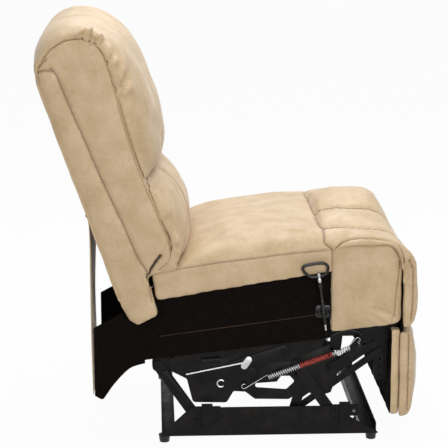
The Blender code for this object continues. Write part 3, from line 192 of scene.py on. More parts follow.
# The chaise cover from its rear foot to the legrest's foot: crown, crown at the edge, underside, underside there
CHAISE_STATIONS = (
    ((0.2385, 0.480), (0.2380, 0.471), (0.2375, 0.4555), (0.2385, 0.466)),
    ((0.2380, 0.515), (0.2400, 0.479), (0.2400, 0.4555), (0.2430, 0.473)),
    ((0.2440, 0.542), (0.2500, 0.487), (0.2500, 0.4555), (0.2500, 0.478)),
    ((0.2700, 0.5605), (0.2720, 0.496), (0.2720, 0.4555), (0.2710, 0.483)),
    ((0.3050, 0.5630), (0.3050, 0.4975), (0.3050, 0.4555), (0.3050, 0.484)),
    ((0.3400, 0.5590), (0.3380, 0.4945), (0.3380, 0.4555), (0.3380, 0.4835)),
    ((0.3630, 0.5455), (0.3640, 0.4915), (0.3650, 0.4555), (0.3620, 0.483)),
    ((0.3795, 0.5170), (0.3840, 0.487), (0.3880, 0.4555), (0.3780, 0.472)),
    ((0.3890, 0.4860), (0.3970, 0.478), (0.4015, 0.4545), (0.3870, 0.452)),
    ((0.4000, 0.4600), (0.4165, 0.4640), (0.4025, 0.4480), (0.3940, 0.440)),
    ((0.4180, 0.4370), (0.4280, 0.4400), (0.4025, 0.4320), (0.3975, 0.430)),
    ((0.4420, 0.4030), (0.4290, 0.400), (0.4025, 0.4000), (0.3975, 0.400)),
    ((0.4470, 0.3620), (0.4310, 0.362), (0.4025, 0.3620), (0.3975, 0.362)),
    ((0.4465, 0.3250), (0.4290, 0.325), (0.4025, 0.3250), (0.3975, 0.325)),
    ((0.4400, 0.3000), (0.4250, 0.300), (0.4025, 0.3000), (0.3975, 0.300)),
    ((0.4280, 0.2865), (0.4180, 0.2870), (0.4025, 0.2890), (0.3975, 0.289)),
    ((0.4100, 0.2840), (0.4090, 0.2845), (0.4025, 0.2845), (0.3975, 0.2845)),
)
# How far each station swells back over the seat, how level it lies across and how round it is
CHAISE_SWELL = (0.40, 1.10, 0.85, 0.45, 0.15) + (0.0,) * 12
CHAISE_LEVEL = (1.0, 1.0, 1.0, 0.4) + (0.0,) * 13
CHAISE_ROUND = (0.0,) * 8 + (0.2, 0.5, 0.8) + (1.0,) * 6
CHAISE_OVERHANG, SIDE_OVERHANG = 0.030, 0.014

# The gusset in the side view: ahead, then its lower and upper edge from the rear link's top pin
GUSSET_COLUMNS = (
    (-0.3195, -0.068, 0.044), (-0.3100, -0.074, 0.049), (-0.3010, -0.077, 0.054), (-0.2935, -0.068, 0.058),
    (-0.2769, -0.044, 0.066), (-0.2555, -0.019, 0.079), (-0.2367, -0.002, 0.089), (-0.2200, 0.005, 0.097),
    (-0.2000, 0.010, 0.100),
)
# How much higher each gusset's upper edge stands
GUSSET_RISE = {"right": 0.053, "left": 0.0}
# The flap: how far behind the back it hangs, its top and its bend in the raked frame, and its foot
FLAP_BEHIND, FLAP_TOP, FLAP_BEND, FLAP_FOOT = -0.0530, 0.238, 0.2125, -0.3205

# The ottoman's pad: how far it stands out at its ends and more in its middle, and how it lies on its board
PAD_OUT, PAD_SWELL = 0.0255, 0.0195
PAD_TALL, PAD_DROP, PAD_WRAP = 0.003, 0.003, 0.0105
PAD_SEAM, PAD_SEAM_END = 0.30, 0.012
# The rounded ends of the pad and the chaise: how far in they start and their radius
END_REACH, END_ROUND = 0.013, 0.0135

# Pull release and return spring
CABLE_LOW = Vector((0.23293, -0.2666, 0.18346))
CABLE_LENGTH = 0.214
SHEATH_LENGTH = 0.105
FERRULE_LENGTH = 0.018
RING_WIDTH, RING_HEIGHT, RING_WIRE = 0.060, 0.033, 0.0035
RING_CORNERS = (
    (-0.46, 0.36), (-0.30, 0.45), (0.10, 0.47), (0.36, 0.40), (0.49, 0.10), (0.42, -0.28), (0.22, -0.47),
    (-0.16, -0.46), (-0.34, -0.24), (-0.46, 0.06),
)
FERRULE_SHAPE = (
    (0.0016, 0), (0.0036, 0.0004), (0.0042, 0.0016), (0.0042, 0.008), (0.0034, 0.0095), (0.0034, 0.014),
    (0.0040, 0.015), (0.0040, FERRULE_LENGTH + 0.003), (0.0030, FERRULE_LENGTH + 0.004),
)
CABLE_TIP_SHAPE = ((0.0014, 0), (0.0024, 0.0006), (0.0024, 0.012), (0.0014, 0.0135))
SLEEVE_TIP_SHAPE = ((0.0014, 0), (0.0022, 0.0005), (0.0022, 0.0120), (0.0030, 0.0126), (0.0030, 0.0150))
SLEEVE_RIBS, RIB_START, RIB_PITCH = 5, 0.030, 0.006
CLAMP_CORNER, CLAMP_ROUND = (0.011, 0.007), 0.008
SADDLE_PITCH = 0.006
SPRING_ANCHOR, SPRING_STUD = (0.02993, 0.14006), (0.29593, 0.25006)
SPRING_COIL = ((0.087, 0.162), (0.279, 0.231))
SPRING_MIDDLE, SPRING_RADIUS, SPRING_WIRE = 0.2576, 0.0060, 0.0011
HOOK_RADIUS = 0.0055
RED_START, RED_END = 0.38, 0.78

# Rivets of the seat mechanism: ahead, up and the face they stand on
RIVETS = ((0.122, 0.221, 0.2466), (0.000, 0.172, 0.2466), (-0.140, 0.205, 0.2433), (0.205, 0.290, 0.2433))
# Cover plates on the carriage, in the side view
COVER_PLATES = (
    ((0.045, 0.188), (0.165, 0.198), (0.172, 0.172), (0.150, 0.160), (0.118, 0.160), (0.108, 0.146), (0.060, 0.143),
     (0.046, 0.150)),
    ((0.150, 0.202), (0.232, 0.236), (0.252, 0.205), (0.252, 0.165), (0.236, 0.118), (0.205, 0.108), (0.175, 0.122),
     (0.163, 0.108), (0.145, 0.108), (0.152, 0.150)),
    ((0.2325, 0.285), (0.392, 0.305), (0.392, 0.262), (0.366, 0.246), (0.335, 0.248), (0.312, 0.232), (0.296, 0.240),
     (0.286, 0.256), (0.262, 0.256), (0.258, 0.220), (0.2325, 0.222)),
    ((-0.075, 0.195), (-0.005, 0.205), (-0.005, 0.165), (-0.020, 0.158), (-0.075, 0.148)),
    ((0.246, 0.185), (0.262, 0.180), (0.318, 0.222), (0.318, 0.238), (0.300, 0.236), (0.250, 0.205)),
)
LATCH_ARC = ((0.238, 0.259), (0.258, 0.268), (0.279, 0.271), (0.298, 0.266), (0.308, 0.257))
LOCKING_ROD = ((-0.106, 0.168), (0.034, 0.1955))
LATCH_BUSH = ((-0.070, 0.200), (-0.026, 0.203))
CLIP_CENTRE, CLIP_RADIUS = (-0.024, 0.144), 0.0085
BOSS_CENTRE = (0.05, 0.17)
# The staples' line, as its start and its run, and how many spaces it has
STAPLE_LINE, STAPLES = ((-0.164, 0.265), (0.359, 0.046)), 64

# Turned fittings, as (radius, height) stations
BOSS_SHAPE = ((0.012, 0), (0.012, 0.0025), (0.0095, 0.0034), (0.0095, 0.0044), (0.006, 0.0050))
RIVET_SHAPE = ((0.0050, 0), (0.0050, 0.0010), (0.0042, 0.0022), (0.0022, 0.0030))
BASE_RIVET_SHAPE = ((0.0038, 0), (0.0038, 0.0008), (0.0030, 0.0018), (0.0014, 0.0023))
STAPLE_SHAPE = ((0.0009, 0), (0.0009, 0.0005), (0.0005, 0.0008))
SCREW_SHAPE = ((0.0042, 0), (0.0042, 0.0008), (0.0032, 0.0020), (0.0014, 0.0024))

# Lamps: place, aim, size and colour; their powers are settings
LAMPS = {
    "key": ((-0.1, -0.1, 3.3), (0.0, 0.0, 0.5), 2.2, (0.96, 0.99, 1.06)),
    "fill": ((0.6, -3.3, 1.3), (0.0, 0.0, 0.5), 2.0, (1.0, 1.0, 1.0)),
    "rear": ((0.4, 1.7, 2.9), (0.1, 0.0, 0.5), 2.0, (1.0, 1.0, 1.0)),
}


# Settings that a user would change

class LeatherFinish(bpy.types.PropertyGroup):
    """Colours and grain of the tan leatherette, and the colour of its painted seam shade."""

    light: FloatVectorProperty(
        name="Light tan", description="Colour of the paler clouds", subtype="COLOR", default=(0.590, 0.435, 0.258)
    )
    dark: FloatVectorProperty(
        name="Dark tan", description="Colour of the darker clouds", subtype="COLOR", default=(0.475, 0.335, 0.182)
    )
    # Painted shade: the cover blends to this colour deep in its seam grooves and where two covers meet.
    crease: FloatVectorProperty(
        name="Crease brown", description="Colour deep in a sewn seam", subtype="COLOR", default=(0.15, 0.085, 0.04)
    )
    thread: FloatVectorProperty(
        name="Thread brown", description="Colour of the sewing thread", subtype="COLOR", default=(0.13, 0.07, 0.035)
    )
    mottle: FloatProperty(
        name="Mottle size", description="Width of a colour cloud", default=0.050, min=0.005, unit="LENGTH"
    )
    grain: FloatProperty(
        name="Grain size", description="Width of one pebble of the grain", default=0.0015, min=0.0003, unit="LENGTH"
    )
    roughness: FloatProperty(
        name="Roughness", description="Mean roughness of the cover", default=0.52, min=0.0, max=1.0, subtype="FACTOR"
    )


class Sewing(bpy.types.PropertyGroup):
    """How the covers are stuffed and sewn."""

    pressure: FloatProperty(name="Stuffing", description="Pressure that fills a cover", default=4.0, min=0.0)
    steps: IntProperty(name="Settling steps", description="Frames that a cover takes to settle", default=20, min=1)
    groove: FloatProperty(
        name="Seam width", description="Half width of a drawn-in seam", default=0.009, min=0.001, unit="LENGTH"
    )
    depth: FloatProperty(
        name="Seam depth", description="How far a seam draws in", default=0.0030, min=0.0, unit="LENGTH"
    )
    stitch: FloatProperty(
        name="Stitch length", description="Length of one stitch", default=0.0052, min=0.001, unit="LENGTH"
    )
    gap: FloatProperty(
        name="Stitch gap", description="Space between two stitches", default=0.0022, min=0.0005, unit="LENGTH"
    )
    thread: FloatProperty(
        name="Thread radius", description="Radius of the thread", default=0.00075, min=0.0002, unit="LENGTH"
    )


class Hardware(bpy.types.PropertyGroup):
    """Colours and counts of the mechanism's fittings."""

    enamel: FloatVectorProperty(
        name="Enamel", description="Colour of the baked enamel", subtype="COLOR", default=(0.0052, 0.0044, 0.0040)
    )
    zinc: FloatVectorProperty(
        name="Zinc", description="Colour of the bright plated steel", subtype="COLOR", default=(0.66, 0.66, 0.68)
    )
    red: FloatVectorProperty(
        name="Red dip", description="Colour of the spring's red middle", subtype="COLOR", default=(0.60, 0.085, 0.06)
    )
    cloth: FloatVectorProperty(
        name="Lining", description="Colour of the black lining cloth", subtype="COLOR", default=(0.0034, 0.0023, 0.0018)
    )
    coils: IntProperty(name="Spring coils", description="Turns of the return spring", default=38, min=4)


class Studio(bpy.types.PropertyGroup):
    """Camera, lamps and floor."""

    eye: FloatVectorProperty(
        name="Camera place", description="Where the camera stands", default=(-0.1797, -3.792, 1.33), subtype="XYZ"
    )
    sight: FloatVectorProperty(
        name="Camera sight", description="Way that the camera looks", default=(0.0448, 0.9744, -0.2202), subtype="XYZ"
    )
    lens: FloatProperty(name="Lens", description="Focal length in millimetres", default=127.2, min=10.0)
    key: FloatProperty(name="Key lamp", description="Power of the overhead lamp", default=52.0, min=0.0, unit="POWER")
    fill: FloatProperty(name="Fill lamp", description="Power of the side lamp", default=47.0, min=0.0, unit="POWER")
    rear: FloatProperty(name="Rear lamp", description="Power of the lamp behind", default=42.0, min=0.0, unit="POWER")
    sky: FloatProperty(name="Room light", description="Strength of the even light", default=0.35, min=0.0)
    floor: FloatVectorProperty(
        name="Floor", description="Colour of the floor", subtype="COLOR", default=(0.70, 0.70, 0.70)
    )


# Small tools

def pick(*objects):
    """Selects these objects alone, the first one active."""
    bpy.ops.object.select_all(action="DESELECT")
    for obj in objects:
        obj.select_set(True)
    bpy.context.view_layer.objects.active = objects[0]
    return objects[0]


def apply(obj, kind, **values):
    """Adds one modifier with these values and applies it."""
    modifier = obj.modifiers.new(kind.title(), kind)
    for name, value in values.items():
        setattr(modifier, name, value)
    pick(obj)
    bpy.ops.object.modifier_apply(modifier=modifier.name)
    return obj


def new_object(name, bm):
    """An object from a mesh under construction."""
    mesh = bpy.data.meshes.new(name)
    bm.to_mesh(mesh)
    bm.free()
    obj = bpy.data.objects.new(name, mesh)
    bpy.context.scene.collection.objects.link(obj)
    return obj


def join(name, pieces):
    """Joins objects into one under a new name."""
    pick(*pieces)
    if len(pieces) > 1:
        bpy.ops.object.join()
    pieces[0].name = name
    pieces[0].data.name = name
    return pieces[0]


def places_of(obj):
    """The places of a mesh's points."""
    flat = np.empty(len(obj.data.vertices) * 3, np.float32)
    obj.data.vertices.foreach_get("co", flat)
    return flat.reshape(-1, 3).astype(float)


def ways_of(obj):
    """The outward direction at each point of a mesh."""
    flat = np.empty(len(obj.data.vertices) * 3, np.float32)
    obj.data.vertex_normals.foreach_get("vector", flat)
    return flat.reshape(-1, 3).astype(float)


def put(obj, places):
    """Moves a mesh's points to these places."""
    obj.data.vertices.foreach_set("co", places.astype(np.float32).ravel())
    obj.data.update()


def ease(values, start, end):
    """A smooth step from 0 at the start to 1 at the end."""
    t = np.clip((np.asarray(values, float) - start) / (end - start), 0.0, 1.0)
    return t * t * (3 - 2 * t)


def raked_outline(points):
    """An outline in the back's raked frame, as side-view points."""
    return [(place.x, place.z) for place in (raked(*point) for point in points)]


def raked_path(points):
    """A smooth path through points in the back's raked frame."""
    return smooth_path([raked(*point) for point in points])


def raked(forward, up, y=0.0):
    """A place on the back, from the recline hinge, in its raked frame."""
    x = BACK_HINGE.x + forward * cos(BACK_RAKE) - up * sin(BACK_RAKE)
    z = BACK_HINGE.y + forward * sin(BACK_RAKE) + up * cos(BACK_RAKE)
    return Vector((x, y, z))


def unraked(places):
    """Forward and up of many places in the back's raked frame."""
    x = places[:, 0] - BACK_HINGE.x
    z = places[:, 2] - BACK_HINGE.y
    return x * cos(BACK_RAKE) + z * sin(BACK_RAKE), z * cos(BACK_RAKE) - x * sin(BACK_RAKE)


def smooth_path(points, step=0.003):
    """Evenly spaced places along a smooth curve through the given ones."""
    points = [Vector(point) for point in points]
    last = len(points) - 1
    dense = []
    for i in range(last):
        a, b, c, d = (points[min(max(k, 0), last)] for k in (i - 1, i, i + 1, i + 2))
        for k in range(16):
            t = k / 16
            place = 2 * b + (c - a) * t + (2 * a - 5 * b + 4 * c - d) * t**2 + (3 * b - a - 3 * c + d) * t**3
            dense.append(place / 2)
    dense.append(points[-1])
    path = [dense[0]]
    for place in dense[1:]:
        while (place - path[-1]).length >= step:
            path.append(path[-1] + (place - path[-1]).normalized() * step)
    return path


def surface(obj):
    """The search tree of a mesh's faces, for a hidden solid too."""
    mesh = obj.data
    return BVHTree.FromPolygons([point.co for point in mesh.vertices], [face.vertices for face in mesh.polygons])


def snap(obj, path):
    """Moves each place of a path to the nearest place on a mesh."""
    tree = surface(obj)
    return [tree.find_nearest(place)[0] for place in path]


def lay_on_side(obj, path, side):
    """Lays a side-view path on the outer face of one side, as far as it meets the mesh."""
    tree = surface(obj)
    laid = []
    for place in path:
        hit = tree.ray_cast(Vector((place.x, side * 0.5, place.z)), Vector((0, -side, 0)))[0]
        if hit is not None and side * hit.y > 0.2:
            laid.append(hit)
    return laid


def wrap(obj, centre, y, start, end, count=160):
    """The line where a plane across the chair meets a lobe, swept about a centre in the raked frame."""
    tree = surface(obj)
    middle = raked(*centre, y)
    laid = []
    for i in range(count + 1):
        turn = radians(start + (end - start) * i / count) + BACK_RAKE
        way = Vector((cos(turn), 0, sin(turn)))
        hit = tree.ray_cast(middle + way * 0.5, -way)[0]
        if hit is not None:
            laid.append(hit)
    return smooth_path(laid[::4] + laid[-1:])


# Upholstery tools

def soft_start(name, nodes, voxel):
    """A fresh, even mesh in the space of some solids."""
    bm = bmesh.new()
    for node in nodes:
        bm.from_mesh(NODES[node].data)
    bmesh.ops.remove_doubles(bm, verts=bm.verts, dist=0.00001)
    return even(new_object(name, bm), voxel)


def even(obj, voxel, passes=2):
    """Remeshes a closed form to even faces and softens it."""
    apply(obj, "REMESH", mode="VOXEL", voxel_size=voxel)
    return apply(obj, "SMOOTH", factor=0.5, iterations=passes)


def loft(name, rings):
    """A closed skin over rings of equal length."""
    bm = bmesh.new()
    rows = [[bm.verts.new(point) for point in ring] for ring in rings]
    for near, far in zip(rows, rows[1:]):
        for i in range(len(near)):
            j = (i + 1) % len(near)
            bm.faces.new((near[i], near[j], far[j], far[i]))
    bm.faces.new(rows[0])
    bm.faces.new(rows[-1])
    bmesh.ops.recalc_face_normals(bm, faces=bm.faces)
    return new_object(name, bm)


def rounded_end(y, half):
    """Share of a pad's thickness at one place across it, less at its rounded ends."""
    past = max(0.0, abs(y) - half + END_REACH) / END_ROUND
    return 0.55 + 0.45 * sqrt(max(0.0, 1 - past**2))


def lobe(name, centre, profile, half, power, puff, filled):
    """A pillow over the back's shell: the profile of its front seam, rounded off to both sides.

    It puffs up between its seams, and its ends are filled out below by a share.
    """
    root, least, count = 0.006, 0.015, 80
    tree = surface(NODES["back_shell"])
    line = smooth_path([(forward, 0, up) for forward, up in profile], 0.004)
    turns = [(atan2(place.z - centre[1], place.x - centre[0]), place) for place in line]
    rises = []
    for turn, place in turns:
        way = Vector((cos(turn + BACK_RAKE), 0, sin(turn + BACK_RAKE)))
        middle = raked(*centre)
        foot = (tree.ray_cast(middle + way * 0.4, -way)[0] - middle).length
        height = sqrt((place.x - centre[0]) ** 2 + (place.z - centre[1]) ** 2)
        rises.append((turn, foot, max(0.001, height - foot)))
    at_seam = sqrt(1 - (PANEL_SEAM / half) ** power)
    rings = []
    for i in range(count + 1):
        y = half * sin(pi / 2 * (2 * i / count - 1))
        dome = sqrt(max(least, 1 - (abs(y) / (1.004 * half)) ** power)) / at_seam
        inside = cos(pi / 2 * min(1.0, abs(y) / PANEL_SEAM)) ** 2
        outer = []
        for turn, foot, rise in rises:
            below = filled * float(ease(-turn, radians(35), radians(62)))
            swell = puff * min(1.0, rise / 0.03) * float(ease(turn, radians(82), radians(45)))
            outer.append((turn, foot + (rise - swell) * max(dome, below) + swell * inside))
        inner = [(turn, foot - root) for turn, foot, _ in rises[::-1]]
        rings.append([raked(centre[0] + r * cos(a), centre[1] + r * sin(a), y) for a, r in outer + inner])
    return loft(name, rings)


def close_to(carrier, places, reach):
    """Marks the places that lie within reach of a solid."""
    tree = surface(carrier)
    return np.array([tree.find_nearest(Vector(place), reach)[0] is not None for place in places])


def seam_field(obj, paths):
    """Distance of each point to the nearest seam, and how far along that seam it lies."""
    total = sum(len(path) for path in paths)
    tree = KDTree(total)
    run = np.empty(total)
    count = 0
    for path in paths:
        length = 0.0
        for i, place in enumerate(path):
            length += (place - path[i - 1]).length if i else 0.0
            tree.insert(place, count)
            run[count] = length
            count += 1
    tree.balance()
    found = [tree.find(place) for place in places_of(obj)]
    return np.array([hit[2] for hit in found]), run[[hit[1] for hit in found]]


def stuff(obj, held, cap, give):
    """Fills a cover by cloth simulation; held points stay, and no other moves far in or aside."""
    settings = bpy.context.scene.recliner_sewing
    start, out = places_of(obj), ways_of(obj)
    group = obj.vertex_groups.new(name="held")
    group.add([int(i) for i in np.flatnonzero(held)], 1.0, "REPLACE")
    modifier = obj.modifiers.new("Stuffing", "CLOTH")
    cloth = modifier.settings
    cloth.quality = 3
    cloth.use_pressure = True
    cloth.uniform_pressure_force = settings.pressure
    cloth.effector_weights.gravity = 0
    cloth.vertex_group_mass = group.name
    modifier.collision_settings.use_collision = False
    scene = bpy.context.scene
    for step in range(1, settings.steps + 1):
        scene.frame_set(step)
    evaluated = obj.evaluated_get(bpy.context.evaluated_depsgraph_get())
    way = places_of(evaluated) - start
    obj.modifiers.remove(modifier)
    obj.vertex_groups.remove(group)
    scene.frame_set(1)
    lift = (way * out).sum(axis=1)
    aside = way - lift[:, None] * out
    far = np.maximum(np.linalg.norm(aside, axis=1), 1e-9)
    put(obj, start + np.clip(lift, -give, cap)[:, None] * out + aside * np.minimum(1.0, give / far)[:, None])
    apply(obj, "SMOOTH", factor=0.5, iterations=2)


def fill_out(obj, held, cap, give=0.002, passes=0, **unevenness):
    """Stuffs a cover, refines its mesh and leaves it a little uneven."""
    stuff(obj, held, cap, give)
    apply(obj, "SUBSURF", levels=1, render_levels=1)
    if passes:
        apply(obj, "SMOOTH", factor=0.5, iterations=passes)
    crumple(obj, **unevenness)


def press(obj, paths, width=None, depth=None, dark=1.0, spread=0.0024):
    """Draws the cover in along its seams and paints shade along each seam line, weighted by dark."""
    settings = bpy.context.scene.recliner_sewing
    width = width or settings.groove
    depth = settings.depth if depth is None else depth
    away, run = seam_field(obj, paths)
    share = np.clip(1 - away / width, 0.0, 1.0)
    pucker = 1 + PUCKER * np.cos(2 * pi * run / PUCKER_PITCH)
    put(obj, places_of(obj) - ways_of(obj) * (depth * share**2 * (3 - 2 * share) * pucker)[:, None])
    # Painted shade along the seam line, through the seam share that the leatherette darkens.
    mark(obj, dark * np.exp(-((away / spread) ** 2)))


def paint_contact_shade(obj, other, reach):
    """Paints shade on a cover where it meets another one, in the crevice between them."""
    tree = surface(other)
    found = [tree.find_nearest(Vector(place), reach)[3] for place in places_of(obj)]
    away = np.array([reach if distance is None else distance for distance in found])
    mark(obj, 1 - ease(away, 0.25 * reach, reach))


def wrinkle(obj, paths, width, depth):
    """Soft folds: a shallow valley along each path with a low ridge on both sides."""
    away, _ = seam_field(obj, paths)
    ridge, offset = 0.6, 1.7
    shape = ridge * np.exp(-((away / width - offset) ** 2)) - np.exp(-((away / width) ** 2))
    put(obj, places_of(obj) + ways_of(obj) * (depth * shape)[:, None])


def inset(line, distance):
    """A side-view line moved to its right hand."""
    moved = []
    for i, (ahead, up) in enumerate(line):
        way = (Vector(line[min(i + 1, len(line) - 1)]) - Vector(line[max(i - 1, 0)])).normalized()
        moved.append((ahead + way.y * distance, up - way.x * distance))
    return moved


def mark(obj, values, name="seam"):
    """Keeps the largest share seen so far at each point, which the leatherette turns into painted shade."""
    layer = obj.data.attributes.get(name) or obj.data.attributes.new(name, "FLOAT", "POINT")
    old = np.zeros(len(obj.data.vertices), np.float32)
    layer.data.foreach_get("value", old)
    layer.data.foreach_set("value", np.maximum(old, values).astype(np.float32))


def fold(obj, path, folds):
    """Gathers along one seam: each fold is (place along it, depth, half width, reach, lean)."""
    away, run = seam_field(obj, [path])
    shift = np.zeros(len(away))
    for place, depth, half, reach, lean in folds:
        fall = ease(away, 0.0, 0.3 * reach) * (1 - ease(away, 0.4 * reach, reach))
        across = (run - place - lean * away) / (half * (0.5 + away / reach))
        ridges = np.exp(-((across - FOLD_OFFSET) ** 2)) + np.exp(-((across + FOLD_OFFSET) ** 2))
        shift += FOLD_RIDGE * depth * fall * ridges
        shift -= depth * fall * np.exp(-(across**2))
    put(obj, places_of(obj) + ways_of(obj) * shift[:, None])


def crumple(obj, amount, size, seed):
    """Low, soft unevenness that a stuffed cover has."""
    places = places_of(obj)
    offset = Vector((seed * 7.1, seed * 3.7, seed * 5.3))
    height = np.array([noise.noise(Vector(place) / size + offset) for place in places])
    put(obj, places + ways_of(obj) * (amount * height)[:, None])


def finish_cover(obj, body, nodes):
    """Shades a cover, gives it its leatherette and hangs it on its body in place of its solids."""
    pick(obj)
    bpy.ops.object.shade_smooth()
    obj.data.materials.clear()
    obj.data.materials.append(bpy.data.materials["tan_leatherette"])
    if body:
        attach(obj, body)
    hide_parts(*nodes)
    return obj


def sew(name, obj, paths):
    """One mesh of short stitches along seams, lying on a finished cover."""
    settings = bpy.context.scene.recliner_sewing
    pitch = settings.stitch + settings.gap
    sides, lift = 6, 0.25
    rings = ((-0.5, 0.45), (-0.34, 1.0), (0.34, 1.0), (0.5, 0.45))
    tree = surface(obj)
    points, faces = [], []
    for path in paths:
        for centre, ahead in zip(smooth_path(path, pitch), smooth_path(path, pitch)[1:]):
            hit, out = tree.find_nearest(centre)[:2]
            along = (ahead - centre).normalized()
            across = out.cross(along).normalized()
            base = len(points)
            for share, swell in rings:
                middle = hit + along * (share * settings.stitch) + out * (lift * settings.thread * swell)
                for k in range(sides):
                    turn = 2 * pi * k / sides
                    points.append(middle + (across * cos(turn) + out * sin(turn)) * settings.thread * swell)
            for ring in range(len(rings) - 1):
                for k in range(sides):
                    a, b = base + ring * sides + k, base + ring * sides + (k + 1) % sides
                    faces.append((a, b, b + sides, a + sides))
            faces.append(tuple(range(base + sides - 1, base - 1, -1)))
            last = base + (len(rings) - 1) * sides
            faces.append(tuple(range(last, last + sides)))
    mesh = bpy.data.meshes.new(name)
    mesh.from_pydata(points, [], faces)
    thread = bpy.data.objects.new(name, mesh)
    bpy.context.scene.collection.objects.link(thread)
    pick(thread)
    bpy.ops.object.shade_smooth()
    mesh.materials.append(bpy.data.materials["brown_thread"])
    return thread


# Hardware tools

def wire(name, points, radius, sides=8, closed=False, swell=None):
    """A round bar along a path, with its own thickness at each place if given."""
    curve = bpy.data.curves.new(name, "CURVE")
    curve.dimensions = "3D"
    curve.bevel_depth = radius
    curve.bevel_resolution = sides // 2 - 2
    curve.use_fill_caps = True
    spline = curve.splines.new("POLY")
    spline.points.add(len(points) - 1)
    for i, place in enumerate(points):
        spline.points[i].co = (*place, 1.0)
        spline.points[i].radius = swell[i] if swell else 1.0
    spline.use_cyclic_u = closed
    obj = bpy.data.objects.new(name, curve)
    bpy.context.scene.collection.objects.link(obj)
    pick(obj)
    bpy.ops.object.convert(target="MESH")
    return apply(bpy.context.object, "WELD", merge_threshold=0.00001)


def turned(name, stations, sides=20):
    """A turned fitting that stands up +Z: a disc drawn up through (radius, height) stations."""
    bpy.ops.object.select_all(action="DESELECT")
    bpy.ops.mesh.primitive_circle_add(
        vertices=sides, radius=stations[0][0], fill_type="NGON", location=(0, 0, stations[0][1])
    )
    obj = bpy.context.object
    obj.name = name
    bpy.ops.object.transform_apply(location=True, rotation=True, scale=True)
    bpy.ops.object.mode_set(mode="EDIT")
    bpy.ops.mesh.select_all(action="SELECT")
    for (radius, height), (wider, lower) in zip(stations[1:], stations):
        bpy.ops.mesh.extrude_region_move(TRANSFORM_OT_translate={"value": (0, 0, height - lower)})
        bpy.ops.transform.resize(value=(radius / wider, radius / wider, 1))
    bpy.ops.mesh.select_all(action="SELECT")
    bpy.ops.mesh.normals_make_consistent(inside=False)
    bpy.ops.object.mode_set(mode="OBJECT")
    return obj


def upright(way):
    """The turn that stands a fitting up in a way."""
    return Vector(way).to_track_quat("Z", "Y").to_matrix().to_4x4()


def placed(master, place, way):
    """A copy of a fitting, standing at a place and facing a way."""
    obj = master.copy()
    obj.data = master.data.copy()
    bpy.context.scene.collection.objects.link(obj)
    obj.data.transform(Matrix.Translation(place) @ upright(way))
    return obj


def fittings(name, master, spots, body, finish, slot="black_steel"):
    """One piece of equal fittings at many (place, way) spots."""
    pieces = [placed(master, Vector(place), way) for place, way in spots]
    bpy.data.objects.remove(master)
    return fit(join(name, pieces), body, finish)


def bar_outline(start, end, start_radius, end_radius, steps=8):
    """The outline of a flat link with round ends, in the side view."""
    start, end = Vector(start), Vector(end)
    along = (end - start).normalized()
    heading = atan2(along.y, along.x)
    outline = []
    for centre, radius, turn in ((end, end_radius, heading - pi / 2), (start, start_radius, heading + pi / 2)):
        for i in range(steps + 1):
            angle = turn + pi * i / steps
            outline.append((centre.x + radius * cos(angle), centre.y + radius * sin(angle)))
    return outline


def flat_plate(name, outline, inner, outer, side, edge=0.0006):
    """A flat plate in the side view, drawn out sideways from its inner face and eased at its edges."""
    bm = bmesh.new()
    bm.faces.new([bm.verts.new((x, side * inner, z)) for x, z in outline])
    obj = new_object(name, bm)
    pick(obj)
    bpy.ops.object.mode_set(mode="EDIT")
    bpy.ops.mesh.select_all(action="SELECT")
    bpy.ops.mesh.extrude_region_move(TRANSFORM_OT_translate={"value": (0, side * (outer - inner), 0)})
    bpy.ops.mesh.select_all(action="SELECT")
    bpy.ops.mesh.normals_make_consistent(inside=False)
    bpy.ops.object.mode_set(mode="OBJECT")
    return apply(obj, "BEVEL", width=edge, segments=2, limit_method="ANGLE")


def fit(obj, body, finish):
    """Shades a hard piece, gives it its finish and hangs it on its body."""
    pick(obj)
    bpy.ops.object.shade_smooth_by_angle(angle=radians(40))
    obj.data.materials.clear()
    obj.data.materials.append(bpy.data.materials[finish])
    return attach(obj, body) if body else obj


# Finishes

def blank(name, roughness, metallic=0.0):
    """A new finish and its shader."""
    made = bpy.data.materials.new(name)
    made.use_nodes = True
    shader = made.node_tree.nodes["Principled BSDF"]
    shader.inputs["Roughness"].default_value = roughness
    shader.inputs["Metallic"].default_value = metallic
    return made.node_tree, shader


def add_node(tree, kind, inputs=(), **fields):
    """Adds one shader node with its inputs set or linked."""
    made = tree.nodes.new(kind)
    for name, value in fields.items():
        setattr(made, name, value)
    for name, value in dict(inputs).items():
        if isinstance(value, bpy.types.NodeSocket):
            tree.links.new(value, made.inputs[name])
        else:
            made.inputs[name].default_value = value
    return made


def speckle(tree, place, size, detail=3.0, roughness=0.55):
    """Noise whose patches are about this wide."""
    inputs = {"Vector": place, "Scale": 1 / size, "Detail": detail, "Roughness": roughness}
    return add_node(tree, "ShaderNodeTexNoise", inputs).outputs["Fac"]


def between(tree, value, low, high, start=0.0, end=1.0):
    """Maps a value from one range to another."""
    inputs = {"Value": value, "From Min": start, "From Max": end, "To Min": low, "To Max": high}
    return add_node(tree, "ShaderNodeMapRange", inputs).outputs["Result"]


def blend_colours(tree, share, first, second):
    """Mixes two colours by a share."""
    made = add_node(tree, "ShaderNodeMix", data_type="RGBA")
    tree.links.new(share, made.inputs["Factor"])
    for socket, value in ((made.inputs[6], first), (made.inputs[7], second)):
        if isinstance(value, bpy.types.NodeSocket):
            tree.links.new(value, socket)
        else:
            socket.default_value = (*value, 1.0)
    return made.outputs[2]


def paint(tree, shader, share, first, second):
    """Colours a finish from one tone to another."""
    tree.links.new(blend_colours(tree, share, first, second), shader.inputs["Base Color"])


def roughen(tree, shader, value, low, high, start=0.0, end=1.0):
    """Lets a pattern vary a finish's roughness."""
    tree.links.new(between(tree, value, low, high, start, end), shader.inputs["Roughness"])


def raise_bumps(tree, shader, layers):
    """Stacks bump layers of (height, strength, depth in metres)."""
    normal = None
    for height, strength, depth in layers:
        inputs = {"Height": height, "Strength": strength, "Distance": depth}
        if normal is not None:
            inputs["Normal"] = normal
        normal = add_node(tree, "ShaderNodeBump", inputs).outputs["Normal"]
    tree.links.new(normal, shader.inputs["Normal"])


